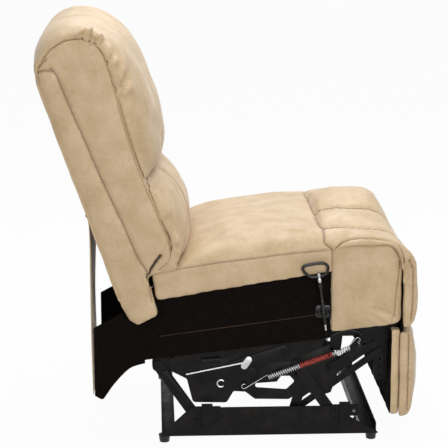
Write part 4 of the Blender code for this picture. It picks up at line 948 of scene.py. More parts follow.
def object_place(tree):
    """A place in the object's own coordinates."""
    return add_node(tree, "ShaderNodeTexCoord").outputs["Object"]


def make_leatherette(finish):
    """Cloudy tan leatherette with a pebbled grain, with painted shade in its seams and where covers meet, and
    near-black painted shade in crevices.
    """
    tree, shader = blank("tan_leatherette", finish.roughness)
    shader.inputs["Sheen Weight"].default_value = 0.16
    place = object_place(tree)
    clouds = speckle(tree, place, finish.mottle, 5.0, 0.6)
    flecks = speckle(tree, place, finish.mottle / 7, 3.0)
    tone = add_node(tree, "ShaderNodeMix", {"Factor": 0.28})
    tree.links.new(clouds, tone.inputs[2])
    tree.links.new(flecks, tone.inputs[3])
    share = between(tree, tone.outputs[0], 0.0, 1.0, 0.36, 0.64)
    skin = blend_colours(tree, share, finish.dark, finish.light)
    # The seam share blends the skin to the crease colour: painted shade in seam grooves and between touching covers.
    seam = add_node(tree, "ShaderNodeAttribute", attribute_name="seam").outputs["Fac"]
    depth = between(tree, seam, 0.0, 0.62)
    seam_shaded_skin = blend_colours(tree, depth, skin, finish.crease)
    # The crevice share paints near-black shade in the crease by the legs and the groove above the hems.
    slit = add_node(tree, "ShaderNodeAttribute", attribute_name="slit").outputs["Fac"]
    paint(tree, shader, slit, seam_shaded_skin, (0.004, 0.003, 0.002))
    roughen(tree, shader, clouds, finish.roughness + 0.08, finish.roughness - 0.07, 0.3, 0.7)
    pebble = add_node(
        tree, "ShaderNodeTexVoronoi", {"Vector": place, "Scale": 1 / finish.grain}, feature="DISTANCE_TO_EDGE"
    ).outputs["Distance"]
    creases = speckle(tree, place, finish.grain * 9, 4.0, 0.6)
    raise_bumps(tree, shader, ((creases, 0.35, 0.0010), (pebble, 0.30, 0.0004)))


def make_thread(finish):
    """Twisted brown sewing thread."""
    tree, shader = blank("brown_thread", 0.7)
    place = object_place(tree)
    fuzz = speckle(tree, place, 0.0012, 2.0)
    light = [min(1.0, 1.9 * value) for value in finish.thread]
    paint(tree, shader, between(tree, fuzz, 0, 1, 0.35, 0.65), finish.thread, light)
    raise_bumps(tree, shader, ((fuzz, 0.4, 0.0003),))


def make_lining(fittings):
    """Black non-woven lining with a fine crossed pattern."""
    tree, shader = blank("black_lining", 0.92)
    place = object_place(tree)
    shader.inputs["Specular IOR Level"].default_value = 0.06
    waves = []
    for direction in ("X", "Z"):
        inputs = {"Vector": place, "Scale": 160.0, "Distortion": 0.6, "Detail": 1.0}
        waves.append(add_node(tree, "ShaderNodeTexWave", inputs, bands_direction=direction).outputs["Fac"])
    weave = add_node(tree, "ShaderNodeMath", {0: waves[0], 1: waves[1]}, operation="MULTIPLY").outputs[0]
    lint = speckle(tree, place, 0.012, 5.0, 0.7)
    light = [2.0 * value + 0.001 for value in fittings.cloth]
    paint(tree, shader, between(tree, lint, 0, 1, 0.35, 0.75), fittings.cloth, light)
    roughen(tree, shader, lint, 0.85, 0.97)
    raise_bumps(tree, shader, ((lint, 0.4, 0.0012), (weave, 0.35, 0.0003)))


def make_enamel(fittings):
    """Black baked enamel with a little orange peel, dust and worn patches."""
    tree, shader = blank("black_enamel", 0.34)
    shader.inputs["Specular IOR Level"].default_value = 0.12
    place = object_place(tree)
    dust = speckle(tree, place, 0.035, 6.0, 0.65)
    peel = speckle(tree, place, 0.0022, 2.0)
    worn = [2.2 * value + 0.004 for value in fittings.enamel]
    paint(tree, shader, between(tree, dust, 0, 1, 0.45, 0.8), fittings.enamel, worn)
    roughen(tree, shader, dust, 0.28, 0.48, 0.3, 0.7)
    raise_bumps(tree, shader, ((peel, 0.12, 0.0004),))


def make_zinc(fittings):
    """Bright zinc plating with faint spangle and handling marks."""
    tree, shader = blank("bright_zinc", 0.3, 1.0)
    place = object_place(tree)
    spangle = speckle(tree, place, 0.004, 3.0)
    dull = [0.72 * value for value in fittings.zinc]
    paint(tree, shader, between(tree, spangle, 0, 1, 0.35, 0.65), dull, fittings.zinc)
    roughen(tree, shader, spangle, 0.22, 0.42, 0.3, 0.7)
    raise_bumps(tree, shader, ((spangle, 0.1, 0.0003),))


def make_red_dip(fittings):
    """Red paint that a coil was dipped in, thin and a little chipped."""
    tree, shader = blank("red_dip", 0.42)
    place = object_place(tree)
    thin = speckle(tree, place, 0.006, 4.0, 0.6)
    dark = [0.45 * value for value in fittings.red]
    paint(tree, shader, between(tree, thin, 0, 1, 0.35, 0.6), dark, fittings.red)
    raise_bumps(tree, shader, ((thin, 0.2, 0.0004),))


def make_plastic(fittings):
    """Glossy moulded black plastic."""
    tree, shader = blank("gloss_plastic", 0.22)
    shader.inputs["Specular IOR Level"].default_value = 0.35
    place = object_place(tree)
    smear = speckle(tree, place, 0.015, 4.0, 0.6)
    pale = [1.8 * value + 0.004 for value in fittings.enamel]
    paint(tree, shader, between(tree, smear, 0, 1, 0.4, 0.7), fittings.enamel, pale)
    roughen(tree, shader, smear, 0.16, 0.34, 0.3, 0.7)
    raise_bumps(tree, shader, ((speckle(tree, place, 0.0025, 2.0), 0.06, 0.0003),))


def make_plywood():
    """Sawn plywood with long grain and darker pores."""
    tree, shader = blank("sawn_plywood", 0.75)
    place = object_place(tree)
    long = add_node(tree, "ShaderNodeMapping", {"Vector": place, "Scale": (1.0, 0.12, 1.0)}).outputs["Vector"]
    grain = add_node(tree, "ShaderNodeTexWave", {
        "Vector": long, "Scale": 26.0, "Distortion": 7.0, "Detail": 4.0, "Detail Scale": 2.0,
    }).outputs["Fac"]
    pores = speckle(tree, long, 0.004, 4.0, 0.7)
    paint(tree, shader, between(tree, grain, 0.0, 1.0), (0.42, 0.28, 0.15), (0.58, 0.43, 0.26))
    roughen(tree, shader, pores, 0.65, 0.85)
    raise_bumps(tree, shader, ((grain, 0.15, 0.0005), (pores, 0.25, 0.0004)))


class RECLINER_OT_finishes(bpy.types.Operator):
    """Makes the finishes and gives every solid that stays in view its own"""

    bl_idname = "recliner.finishes"
    bl_label = "Finishes"

    def execute(self, context):
        scene = context.scene
        make_leatherette(scene.recliner_leather)
        make_thread(scene.recliner_leather)
        for make in (make_lining, make_enamel, make_zinc, make_red_dip, make_plastic):
            make(scene.recliner_hardware)
        make_plywood()
        by_slot = {
            "leatherette": "tan_leatherette", "cambric": "black_lining", "black_steel": "black_enamel",
            "black_plastic": "gloss_plastic", "spring_wire": "bright_zinc", "plywood": "sawn_plywood",
        }
        lined = ("front_panel", "footrest_panel", "seat_side_panel_right", "seat_side_panel_left")
        slots = {row["node"]: row["material_slot"] for row in frame["record"]["subparts"]}
        for name, node in NODES.items():
            finish = "black_lining" if name in lined else by_slot[slots[name]]
            node.data.materials.clear()
            node.data.materials.append(bpy.data.materials[finish])
            if finish == "black_enamel":
                weld = node.modifiers.new("Weld", "WELD")
                weld.merge_threshold = 0.00001
                edge = node.modifiers.new("Edge", "BEVEL")
                edge.width = 0.0005
                edge.segments = 2
                edge.angle_limit = radians(40)
        return {"FINISHED"}


class RECLINER_OT_back_cover(bpy.types.Operator):
    """Sews the back's cover over its shell and legs, with the board and its piping behind"""

    bl_idname = "recliner.back_cover"
    bl_label = "Back cover"

    def execute(self, context):
        leg_top, rear_swell = 0.06, 0.0035
        pieces = [soft_start("shell", ("back_shell",), voxel=0.0060)]
        for points, sunk in ((LEG_OUTLINE, 0.0), (TUCK_OUTLINE, TUCK_SUNK)):
            outline = raked_outline(points)
            pieces += [flat_plate("leg", outline, LEG_FACE, BACK_HALF - sunk, side, edge=0.0015) for _, side in SIDES]
        cover = even(join("back_cover", pieces), voxel=0.0058)
        side_lines = [raked_path(line) for line in (ARCH_SEAM, REAR_BAND_SEAM, REAR_CAP_SEAM)]
        drawn = [lay_on_side(cover, path, side) for _, side in SIDES for path in side_lines]
        places, ways = places_of(cover), ways_of(cover)
        away, _ = seam_field(cover, [path for path in drawn if len(path) > 1])
        _, up = unraked(places)
        flat_side = (np.abs(ways[:, 1]) > 0.85) & (np.abs(places[:, 1]) > BACK_HALF - 0.010)
        stuff(cover, ~flat_side | (away < 0.005) | (up < leg_top), cap=0.006, give=0.002)
        apply(cover, "SUBSURF", levels=1, render_levels=1)
        ways = ways_of(cover)
        behind = ease(-(ways[:, 0] * cos(BACK_RAKE) + ways[:, 2] * sin(BACK_RAKE)), 0.5, 0.9)
        put(cover, places_of(cover) - np.outer(rear_swell * behind, (cos(BACK_RAKE), 0, sin(BACK_RAKE))))
        crumple(cover, amount=0.0012, size=0.045, seed=1)
        seams = [lay_on_side(cover, path, side) for _, side in SIDES for path in side_lines[1:]]
        folds = [lay_on_side(cover, raked_path(CORNER_TUCK), side) for _, side in SIDES]
        press(cover, seams)
        press(cover, folds, width=0.007, depth=0.005)
        slits = [lay_on_side(cover, raked_path(LEG_CREASE), side) for _, side in SIDES]
        # Painted near-black shade in the crease where the leg meets the lumbar filling.
        mark(cover, 1 - ease(seam_field(cover, slits)[0], 0.0016, 0.0042), "slit")
        press(cover, slits, width=0.007, depth=0.008)
        edge = raked_path(inset(ARCH_SEAM, 0.007))
        seams += [lay_on_side(cover, edge, side) for _, side in SIDES]
        finish_cover(cover, "back", ("back_shell", "back_leg_right", "back_leg_left"))
        cover.data.materials.append(bpy.data.materials["black_lining"])
        for face in cover.data.polygons:
            (forward,), (up,) = unraked(np.array([face.center]))
            inner_leg = up < leg_top and abs(face.center.y) < 0.2635 and abs(face.normal.y) > 0.5
            if inner_leg or (up < 2 * leg_top and forward < -0.02 and abs(face.center.y) < 0.255):
                face.material_index = 1
        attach(sew("back_cover_stitches", cover, seams), "back")

        panel = soft_start("outside_back_panel", ("back_board",), voxel=0.005)
        places, ways = places_of(panel), ways_of(panel)
        _, up = unraked(places)
        rim = (np.abs(places[:, 1]) > 0.228) | (up < 0.262) | (up > 0.512)
        fill_out(panel, (ways[:, 0] > -0.5) | rim, cap=0.009, amount=0.0008, size=0.06, seed=2)
        finish_cover(panel, "back", ("back_board",))

        piping = []
        for _, side in SIDES:
            edge = [raked(-0.052, 0.03 + 0.53 * i / 20, side * (BACK_HALF - 0.0005)) for i in range(21)]
            piping.append(wire("piping", smooth_path(snap(cover, edge), 0.006), radius=0.0023))
        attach(fit(join("back_piping", piping), None, "tan_leatherette"), "back")
        return {"FINISHED"}


class RECLINER_OT_back_pillows(bpy.types.Operator):
    """Stuffs the headrest and lumbar pillows, gathers them along the arch seam and sews their front seams"""

    bl_idname = "recliner.back_pillows"
    bl_label = "Back pillows"

    def execute(self, context):
        shell = NODES["back_shell"]
        arch = raked_path(ARCH_SEAM)
        forms = {
            "headrest": {"centre": HEAD_CENTRE, "profile": HEAD_PROFILE, "power": 4.0, "puff": 0.0055, "filled": 0.0},
            "lumbar": {"centre": LUMBAR_CENTRE, "profile": LUMBAR_PROFILE, "power": 2.2, "puff": 0.0025, "filled": 0.5},
        }
        for name, sweep, seed, folds in (
            ("headrest", (125, -58), 3, HEAD_FOLDS), ("lumbar", (62, -62), 4, LUMBAR_FOLDS),
        ):
            node = f"{name}_pillow"
            pillow = lobe(f"{name}_pillow_cover", half=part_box(node)[1].y + 0.0025, **forms[name])
            even(pillow, voxel=0.0055, passes=4)
            held = close_to(shell, places_of(pillow), 0.006)
            fill_out(pillow, held, cap=0.003, passes=2, amount=0.0025, size=0.07, seed=seed)
            for _, side in SIDES:
                gathers = [(place, depth * (1.0 if side < 0 else FAR_GATHERS), *rest) for place, depth, *rest in folds]
                fold(pillow, [place + Vector((0, side * BACK_HALF, 0)) for place in arch], gathers)
            seams = [wrap(pillow, forms[name]["centre"], side * PANEL_SEAM, *sweep) for _, side in SIDES]
            press(pillow, seams, width=0.014, depth=0.0045, spread=0.0042)
            finish_cover(pillow, "back", (node,))
            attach(sew(f"{name}_pillow_stitches", pillow, seams), "back")
        return {"FINISHED"}


class RECLINER_OT_seat_cover(bpy.types.Operator):
    """Stuffs the seat cushion and sews its side bands"""

    bl_idname = "recliner.seat_cover"
    bl_label = "Seat cover"

    def ring(self, x):
        """The cushion's cross-section: a flat base, upright bands, rolled edges and a low dome."""
        deck = SEAT_DECK[1] + (x - SEAT_DECK[0]) * SEAT_DECK[2]
        seam = float(np.interp(x, *zip(*SEAT_BAND)))
        crown = float(np.interp(x, *zip(*SEAT_CROWN)))
        under, upright_band, over = 20, 6, 80
        ring = [(x, SEAT_HALF * (2 * i / under - 1), deck) for i in range(under)]
        ring += [(x, SEAT_HALF, deck + (seam - deck) * i / upright_band) for i in range(upright_band)]
        for i in range(over + 1):
            y = SEAT_HALF * cos(pi * i / over)
            past = max(0.0, abs(y) - SEAT_HALF + ROLL_REACH) / ROLL_REACH
            rise = SEAT_ROLL * sqrt(max(0.0, 1 - past**2)) + (1 - SEAT_ROLL) * (1 - (y / SEAT_HALF) ** 2)
            ring.append((x, y, seam + crown * rise))
        ring += [(x, -SEAT_HALF, seam - (seam - deck) * i / upright_band) for i in range(1, upright_band)]
        lean = SEAT_LEAN * (1 - float(ease(x, SEAT_CROWN[0][0], LEAN_END)))
        return [(x - lean * (z - deck) / (seam - deck), y, z) for x, y, z in ring]

    def execute(self, context):
        first, last, count = SEAT_CROWN[0][0], SEAT_CROWN[-1][0], 60
        seat = loft("seat_cover", [self.ring(first + (last - first) * i / count) for i in range(count + 1)])
        even(seat, voxel=0.0055, passes=3)
        band = smooth_path([Vector((x, 0, z)) for x, z in SEAT_BAND])
        lines = [[place + Vector((0, side * SEAT_HALF, 0)) for place in band] for _, side in SIDES]
        places, ways = places_of(seat), ways_of(seat)
        away, _ = seam_field(seat, lines)
        held = (ways[:, 2] < -0.4) | (np.abs(ways[:, 0]) > 0.8) | (away < 0.006) | (places[:, 0] < -0.105)
        fill_out(seat, held, cap=0.006, amount=0.0013, size=0.06, seed=5)
        seams = [lay_on_side(seat, line[6:], side) for line, (_, side) in zip(lines, SIDES)]
        press(seat, seams, width=0.006, depth=0.0012, dark=0.35)
        finish_cover(seat, "carriage", ("seat_cushion",))
        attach(sew("seat_stitches", seat, seams), "carriage")
        return {"FINISHED"}


class RECLINER_OT_chaise_cover(bpy.types.Operator):
    """Stuffs the cover that runs on over the front edge into the legrest, with its seams and rolled hems"""

    bl_idname = "recliner.chaise_cover"
    bl_label = "Chaise cover"

    def crown(self, y):
        """Share of the crown's height at one place across the chaise: a middle lobe between two lower ones."""
        (first, second), (inner, outer) = CHAISE_SEAMS, SEAM_CROWNS
        if abs(y) < first:
            return 1 - (1 - inner) * (abs(y) / first) ** 2
        if abs(y) < second:
            past = (abs(y) - first) / (second - first)
            return inner - (inner - outer) * past + LOBE_PUFF * sin(pi * past)
        past = min(1.0, (abs(y) - second) / (CHAISE_HALF - second))
        return outer * (1 - past) + LOBE_PUFF * sin(pi * past)

    def top(self, i, y):
        """One station's upper place at one place across the chaise."""
        out = min(1.0, abs(y) / CHAISE_HALF)
        share = self.crown(y)
        share += 0.55 * CHAISE_LEVEL[i] * (1 - out**3.5 - share) + CHAISE_ROUND[i] * (1 - out**3 - share)
        high = Vector(CHAISE_STATIONS[i][1]).lerp(Vector(CHAISE_STATIONS[i][0]), share)
        reach = (CHAISE_OVERHANG + SIDE_OVERHANG * out**2) * (1 - out**12)
        return high - Vector((reach * CHAISE_SWELL[i], 0))

    def ring(self, y):
        """The cover's closed side profile at one place across the chaise."""
        edge = float(ease(abs(y), CHAISE_HALF - 0.030, CHAISE_HALF - 0.012))
        outer, inner = [], []
        for i, (_, _, base, base_edge) in enumerate(CHAISE_STATIONS):
            low = Vector(base).lerp(Vector(base_edge), edge)
            high = low + (self.top(i, y) - low) * rounded_end(y, CHAISE_HALF)
            outer.append((high.x, y, high.y))
            inner.append((low.x, y, low.y))
        return outer + inner[::-1]

    def seam(self, y):
        """The channel's path over the crown at one place across the chaise."""
        line = [self.top(i, y) for i in range(1, len(CHAISE_STATIONS) - 1)]
        return smooth_path([(place.x, y, place.y) for place in line])

    def execute(self, context):
        count = 56
        stations = [CHAISE_HALF * sin(pi / 2 * (2 * i / count - 1)) for i in range(count + 1)]
        cover = loft("chaise_cover", [self.ring(y) for y in stations])
        even(cover, voxel=0.005)
        places, ways = places_of(cover), ways_of(cover)
        channels = [self.seam(side * y) for y in CHAISE_SEAMS for _, side in SIDES]
        away, _ = seam_field(cover, channels)
        on_board = (places[:, 0] < 0.405) & (places[:, 2] < 0.44) & (ways[:, 0] < -0.5)
        on_box = (ways[:, 2] < -0.4) & (places[:, 2] < 0.49)
        held = on_board | on_box | (places[:, 0] < 0.225) | (away < 0.005) | (np.abs(ways[:, 1]) > 0.8)
        fill_out(cover, held, cap=0.007, amount=0.0022, size=0.05, seed=6)
        seams = [snap(cover, path) for path in channels]
        press(cover, seams, width=0.012, depth=0.0030)
        for _, side in SIDES:
            folds = [smooth_path([(x, side * CHAISE_HALF, z) for x, z in line]) for line in LEGREST_FOLDS]
            wrinkle(cover, [lay_on_side(cover, path, side) for path in folds], width=0.0035, depth=0.0035)
            edge = lay_on_side(cover, smooth_path([(x, side * CHAISE_HALF, z) for x, z in LEGREST_SEAM]), side)
            press(cover, [edge], width=0.006, depth=0.002)
            seams.append(edge)
            tuck = smooth_path([(x, side * CHAISE_HALF, z + radius) for x, z, radius in HEM_LINE])
            tuck = lay_on_side(cover, tuck, side)
            press(cover, [tuck], width=0.007, depth=0.005)
            # Painted shade in the groove just above the rolled hem.
            mark(cover, 0.8 * (1 - ease(seam_field(cover, [tuck])[0], 0.0012, 0.0034)), "slit")
        seat = bpy.data.objects["seat_cover"]
        # Painted shade in the crevice where the seat and the chaise cover meet.
        paint_contact_shade(cover, seat, reach=0.0035)
        paint_contact_shade(seat, cover, reach=0.0035)
        finish_cover(cover, None, ("chaise_pad", "legrest_pad"))
        stitches = sew("chaise_stitches", cover, seams)
        hems = []
        line = smooth_path([(x, radius, z) for x, z, radius in HEM_LINE], 0.004)
        for _, side in SIDES:
            hem = [Vector((place.x, side * CHAISE_HALF, place.z)) for place in line]
            hems.append(wire("hem", hem, radius=1.0, sides=12, swell=[place.y for place in line]))
        hem = join("chaise_hems", hems)
        crumple(hem, amount=0.0018, size=0.011, seed=7)
        fit(hem, None, "tan_leatherette")
        for piece in (cover, stitches, hem):
            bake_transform(piece)
        return {"FINISHED"}


class RECLINER_OT_ottoman_cover(bpy.types.Operator):
    """Stuffs the ottoman's pad and covers its board"""

    bl_idname = "recliner.ottoman_cover"
    bl_label = "Ottoman cover"

    def execute(self, context):
        low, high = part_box("ottoman_pad")
        count, behind, ahead = 60, 24, 40
        rings = []
        for i in range(count + 1):
            y = PAD_HALF * sin(pi / 2 * (2 * i / count - 1))
            share = abs(y) / PAD_HALF
            width = (PAD_OUT + PAD_SWELL * (1 - share**2.5)) * rounded_end(y, PAD_HALF)
            tall = (high.z - low.z) / 2 + PAD_TALL - 0.004 * share**3
            rear = low.x - PAD_WRAP * float(ease(abs(y), PAD_HALF - 0.014, PAD_HALF - 0.006))
            centre = (high.z + low.z) / 2 - PAD_DROP
            ring = [(rear, y, centre + tall * (1 - 2 * k / behind)) for k in range(behind + 1)]
            for k in range(1, ahead):
                turn = pi * (k / ahead - 0.5)
                lift = abs(sin(turn)) ** 0.55
                ring.append((low.x + width * abs(cos(turn)) ** 0.5, y, centre + tall * (lift if turn > 0 else -lift)))
            rings.append(ring)
        pad = loft("ottoman_cover", rings)
        even(pad, voxel=0.005, passes=3)
        middle = low.x + PAD_SEAM * (high.x - low.x)
        first, length = high.z - PAD_SEAM_END, high.z - low.z - 2 * PAD_SEAM_END
        line = [Vector((middle, 0, first - length * i / 30)) for i in range(31)]
        lines = [[place + Vector((0, side * PAD_HALF, 0)) for place in line] for _, side in SIDES]
        ways = ways_of(pad)
        away, _ = seam_field(pad, lines)
        held = (ways[:, 0] < -0.4) | (away < 0.005)
        fill_out(pad, held, cap=0.008, give=0.001, amount=0.0020, size=0.05, seed=8)
        seams = [lay_on_side(pad, smooth_path(path), side) for path, (_, side) in zip(lines, SIDES)]
        press(pad, seams)
        finish_cover(pad, "footrest", ("ottoman_pad",))
        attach(sew("ottoman_stitches", pad, seams), "footrest")

        back = soft_start("ottoman_back_cover", ("ottoman_board",), voxel=0.0055)
        ways = ways_of(back)
        fill_out(back, np.abs(ways[:, 0]) > 0.5, cap=0.004, amount=0.0015, size=0.03, seed=9)
        finish_cover(back, "footrest", ("ottoman_board",))
        back.data.materials.append(bpy.data.materials["black_lining"])
        for face in back.data.polygons:
            if face.normal.x < -0.6:
                face.material_index = 1
        return {"FINISHED"}


class RECLINER_OT_front_box(bpy.types.Operator):
    """Covers the padded sides of the box under the chaise"""

    bl_idname = "recliner.front_box"
    bl_label = "Front box"

    def execute(self, context):
        for word, side in SIDES:
            node = f"front_side_panel_{word}"
            low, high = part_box(node)
            face = high.y if side > 0 else low.y
            panel = soft_start(f"box_side_cover_{word}", (node,), voxel=0.004)
            places, ways = places_of(panel), ways_of(panel)
            lift = ease(places[:, 2], high.z - 0.060, high.z) * BOX_RISE
            places[:, 2] += lift * (1 - ease(places[:, 0], 0.360, 0.392))
            places[:, 0] -= 0.0045 * (1 - ease(places[:, 0], 0.236, 0.270))
            put(panel, places)
            fill_out(panel, side * ways[:, 1] < 0.4, cap=0.006, amount=0.0016, size=0.035, seed=10)
            seam = lay_on_side(panel, smooth_path([(x, face, z) for x, z in BOX_SEAM]), side)
            press(panel, [seam], width=0.006, depth=0.0014, dark=0.5)
            for line in BOX_CREASES:
                crease = lay_on_side(panel, smooth_path([(x, face, z) for x, z in line]), side)
                wrinkle(panel, [crease], width=0.0055, depth=0.0018)
            finish_cover(panel, "carriage", (node,))
            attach(sew(f"box_side_stitches_{word}", panel, [seam]), "carriage")
        return {"FINISHED"}


class RECLINER_OT_loose_cloth(bpy.types.Operator):
    """Hangs the outside-back flap and the black side gussets"""

    bl_idname = "recliner.loose_cloth"
    bl_label = "Loose cloth"

    def sheet(self, name, rows, thickness, finish):
        """A cloth of even thickness over rows of places, and its flat area."""
        bm = bmesh.new()
        grid = [[bm.verts.new(place) for place in row] for row in rows]
        for near, far in zip(grid, grid[1:]):
            for a, b, c, d in zip(near, near[1:], far[1:], far):
                bm.faces.new((a, b, c, d))
        obj = new_object(name, bm)
        area = sum(face.area for face in obj.data.polygons)
        obj.data.materials.append(bpy.data.materials[finish])
        apply(obj, "SOLIDIFY", thickness=thickness, offset=0.0)
        pick(obj)
        bpy.ops.object.shade_smooth_by_angle(angle=radians(60))
        return obj, area

    def execute(self, context):
        low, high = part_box("outside_back_flap")
        half, count = high.y, 90
        top, bend = raked(FLAP_BEHIND, FLAP_TOP), raked(FLAP_BEHIND, FLAP_BEND)
        bottom = Vector((FLAP_FOOT, 0, low.z + 0.001))
        down = smooth_path([top, bend, bend.lerp(bottom, 0.3), bend.lerp(bottom, 0.65), bottom], 0.008)
        across = [half * (2 * i / count - 1) for i in range(count + 1)]
        rows = []
        for i, place in enumerate(down):
            loose = float(ease(i / (len(down) - 1), 0.10, 0.75))
            row = []
            for y in across:
                sway = 0.0016 * cos(5 * pi * y / half) + 0.00088 * sin(41 * y + 9 * place.z)
                skew = 0.012 * loose * (y + half) / (2 * half)
                row.append((place.x + loose * sway - skew, y, place.z + 0.004 * loose * sin(23 * y)))
            rows.append(row)
        flap, _ = self.sheet("back_flap", rows, 0.0016, "tan_leatherette")
        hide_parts("outside_back_flap")
        edges = [wire("binding", [Vector(row[end]) for row in rows], radius=0.0013) for end in (0, -1)]
        binding = fit(join("flap_binding", edges), None, "tan_leatherette")
        for piece in (flap, binding):
            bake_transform(piece)

        columns = smooth_path(GUSSET_COLUMNS, 0.004)
        for word, side in SIDES:
            rise, count = GUSSET_RISE[word], 32
            rows = []
            for column in columns:
                loose = 1 - float(ease(column.x, -0.300, -0.235))
                row = []
                for i in range(count + 1):
                    t = i / count
                    z = REAR_TOP.y + column.y + (column.z + rise - column.y) * t
                    fold_in = (0.0030 * loose + 0.0008 * sin(90 * column.x + 30 * z)) * sin(pi * t)
                    row.append((column.x, side * (GUSSET_LAYER - max(0.0, fold_in)), z))
                rows.append(row)
            gusset, area = self.sheet(f"gusset_cloth_{word}", rows, 0.0009, "black_lining")
            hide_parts(f"gusset_{word}")
            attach(gusset, "carriage")
        return {"FINISHED"}


class RECLINER_OT_release(bpy.types.Operator):
    """Makes the pull ring, its ferrule and cable, the sleeve and its clamp"""

    bl_idname = "recliner.release"
    bl_label = "Pull release"

    def execute(self, context):
        top = CABLE_LOW + CABLE_WAY * CABLE_LENGTH
        across = Vector((CABLE_WAY.z, 0, -CABLE_WAY.x)).normalized()
        centre = top + CABLE_WAY * (FERRULE_LENGTH + RING_HEIGHT / 2 - RING_WIRE) - across * RING_WIDTH * 0.10
        loop = [centre + across * (a * RING_WIDTH) + CABLE_WAY * (b * RING_HEIGHT) for a, b in RING_CORNERS]
        loop = smooth_path(loop + loop[:2], 0.002)
        first = 8
        last = min(range(first + 4, len(loop)), key=lambda i: (loop[i] - loop[first]).length)
        ring = wire("pull_ring_loop", loop[first:last], RING_WIRE, sides=14, closed=True)
        fit(ring, "pull", "gloss_plastic")
        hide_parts("pull_ring")
        ferrule = turned("ferrule", FERRULE_SHAPE)
        fittings("pull_ferrule", ferrule, [(top, CABLE_WAY)], "pull", "bright_zinc", "spring_wire")
        cable = wire("pull_cable", [CABLE_LOW, CABLE_LOW + CABLE_WAY * (CABLE_LENGTH + 0.008)], radius=0.0012)
        fit(cable, "pull", "black_enamel")
        tip = turned("tip", CABLE_TIP_SHAPE)
        fittings("cable_tip", tip, [(CABLE_LOW + CABLE_WAY * 0.001, CABLE_WAY)], "pull", "black_enamel")

        foot = CABLE_LOW + CABLE_WAY * (CABLE_LENGTH - SHEATH_LENGTH)
        ribs = [(0.0020, 0.0), (0.0031, 0.0012)]
        for i in range(SLEEVE_RIBS):
            rib = RIB_START + i * RIB_PITCH
            ribs += [(0.0031, rib), (0.0038, rib + 0.001), (0.0038, rib + 0.0035), (0.0031, rib + 0.0045)]
        for radius, left in ((0.0031, 0.016), (0.0044, 0.014), (0.0048, 0.003), (0.0030, 0.001)):
            ribs.append((radius, SHEATH_LENGTH - left))
        spots = [(foot, CABLE_WAY)]
        sleeve = fittings("cable_sleeve", turned("sleeve", ribs), spots, "carriage", "gloss_plastic", "black_plastic")
        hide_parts("cable_sheath")
        spots = [(foot - CABLE_WAY * 0.013, CABLE_WAY)]
        fittings("sleeve_tip", turned("tip", SLEEVE_TIP_SHAPE), spots, "carriage", "bright_zinc", "spring_wire")

        low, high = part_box("cable_clamp")
        middle = (low + high) / 2
        outline = []
        for corner, turn in (((1, -1), -90), ((1, 1), 0), ((-1, 1), 90), ((-1, -1), 180)):
            spot = Vector((middle.x + corner[0] * CLAMP_CORNER[0], middle.z + corner[1] * CLAMP_CORNER[1]))
            for i in range(7):
                angle = radians(turn + 15 * i)
                outline.append((spot.x + CLAMP_ROUND * cos(angle), spot.y + CLAMP_ROUND * sin(angle)))
        plates = [flat_plate("clamp_base", outline, -high.y, -high.y + 0.0035, -1, edge=0.0008)]
        for shift in (-SADDLE_PITCH, 0.0, SADDLE_PITCH):
            slide = CABLE_WAY.x * shift / CABLE_WAY.z
            saddle = []
            for angle in (pi * i / 10 for i in range(11)):
                out = high.y - 0.0028 - 0.0098 * sin(angle)
                saddle.append(Vector((middle.x + 0.0075 * cos(angle) + slide, out, middle.z + shift)))
            plates.append(wire("saddle", saddle, radius=0.0016))
        clamp = join("cable_clamp_plate", plates)
        fit(clamp, "carriage", "gloss_plastic")
        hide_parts("cable_clamp")
        screw = turned("screw", SCREW_SHAPE, sides=14)
        spots = [((middle.x + shift, high.y - 0.0034, middle.z), (0, -1, 0)) for shift in (-0.0145, 0.0145)]
        fittings("clamp_screws", screw, spots, "carriage", "black_enamel")
        return {"FINISHED"}


class RECLINER_OT_return_spring(bpy.types.Operator):
    """Winds the return spring, hooked at both ends and dipped red at its middle"""

    bl_idname = "recliner.return_spring"
    bl_label = "Return spring"

    def execute(self, context):
        turns = context.scene.recliner_hardware.coils
        base = Vector((0, -SPRING_MIDDLE, 0))
        anchor, stud, start, end = (
            Vector((x, 0, z)) + base for x, z in (SPRING_ANCHOR, SPRING_STUD, *SPRING_COIL)
        )
        along = (end - start).normalized()
        up, out = Vector((-along.z, 0, along.x)), Vector((0, -1, 0))
        steps = 12
        coil = []
        for i in range(turns * steps + 1):
            turn = 2 * pi * i / steps
            coil.append(start.lerp(end, i / (turns * steps)) + (up * cos(turn) + out * sin(turn)) * SPRING_RADIUS)
        hooks = []
        for centre, way in ((anchor, start - anchor), (stud, end - stud)):
            way = way.normalized()
            side = Vector((-way.z, 0, way.x))
            turns_round = [radians(-140 + 23 * i) for i in range(11)]
            hooks.append([centre - (way * cos(turn) + side * sin(turn)) * HOOK_RADIUS for turn in turns_round])
        spring = wire("return_spring_coil", hooks[0] + coil + hooks[1][::-1], SPRING_WIRE, sides=6)
        spring.data.materials.clear()
        for finish in ("bright_zinc", "red_dip"):
            spring.data.materials.append(bpy.data.materials[finish])
        for face in spring.data.polygons:
            share = (face.center - start).dot(along) / (end - start).length
            face.material_index = int(RED_START < share < RED_END)
        pick(spring)
        bpy.ops.object.shade_smooth()
        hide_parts("return_spring")
        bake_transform(spring)
        return {"FINISHED"}


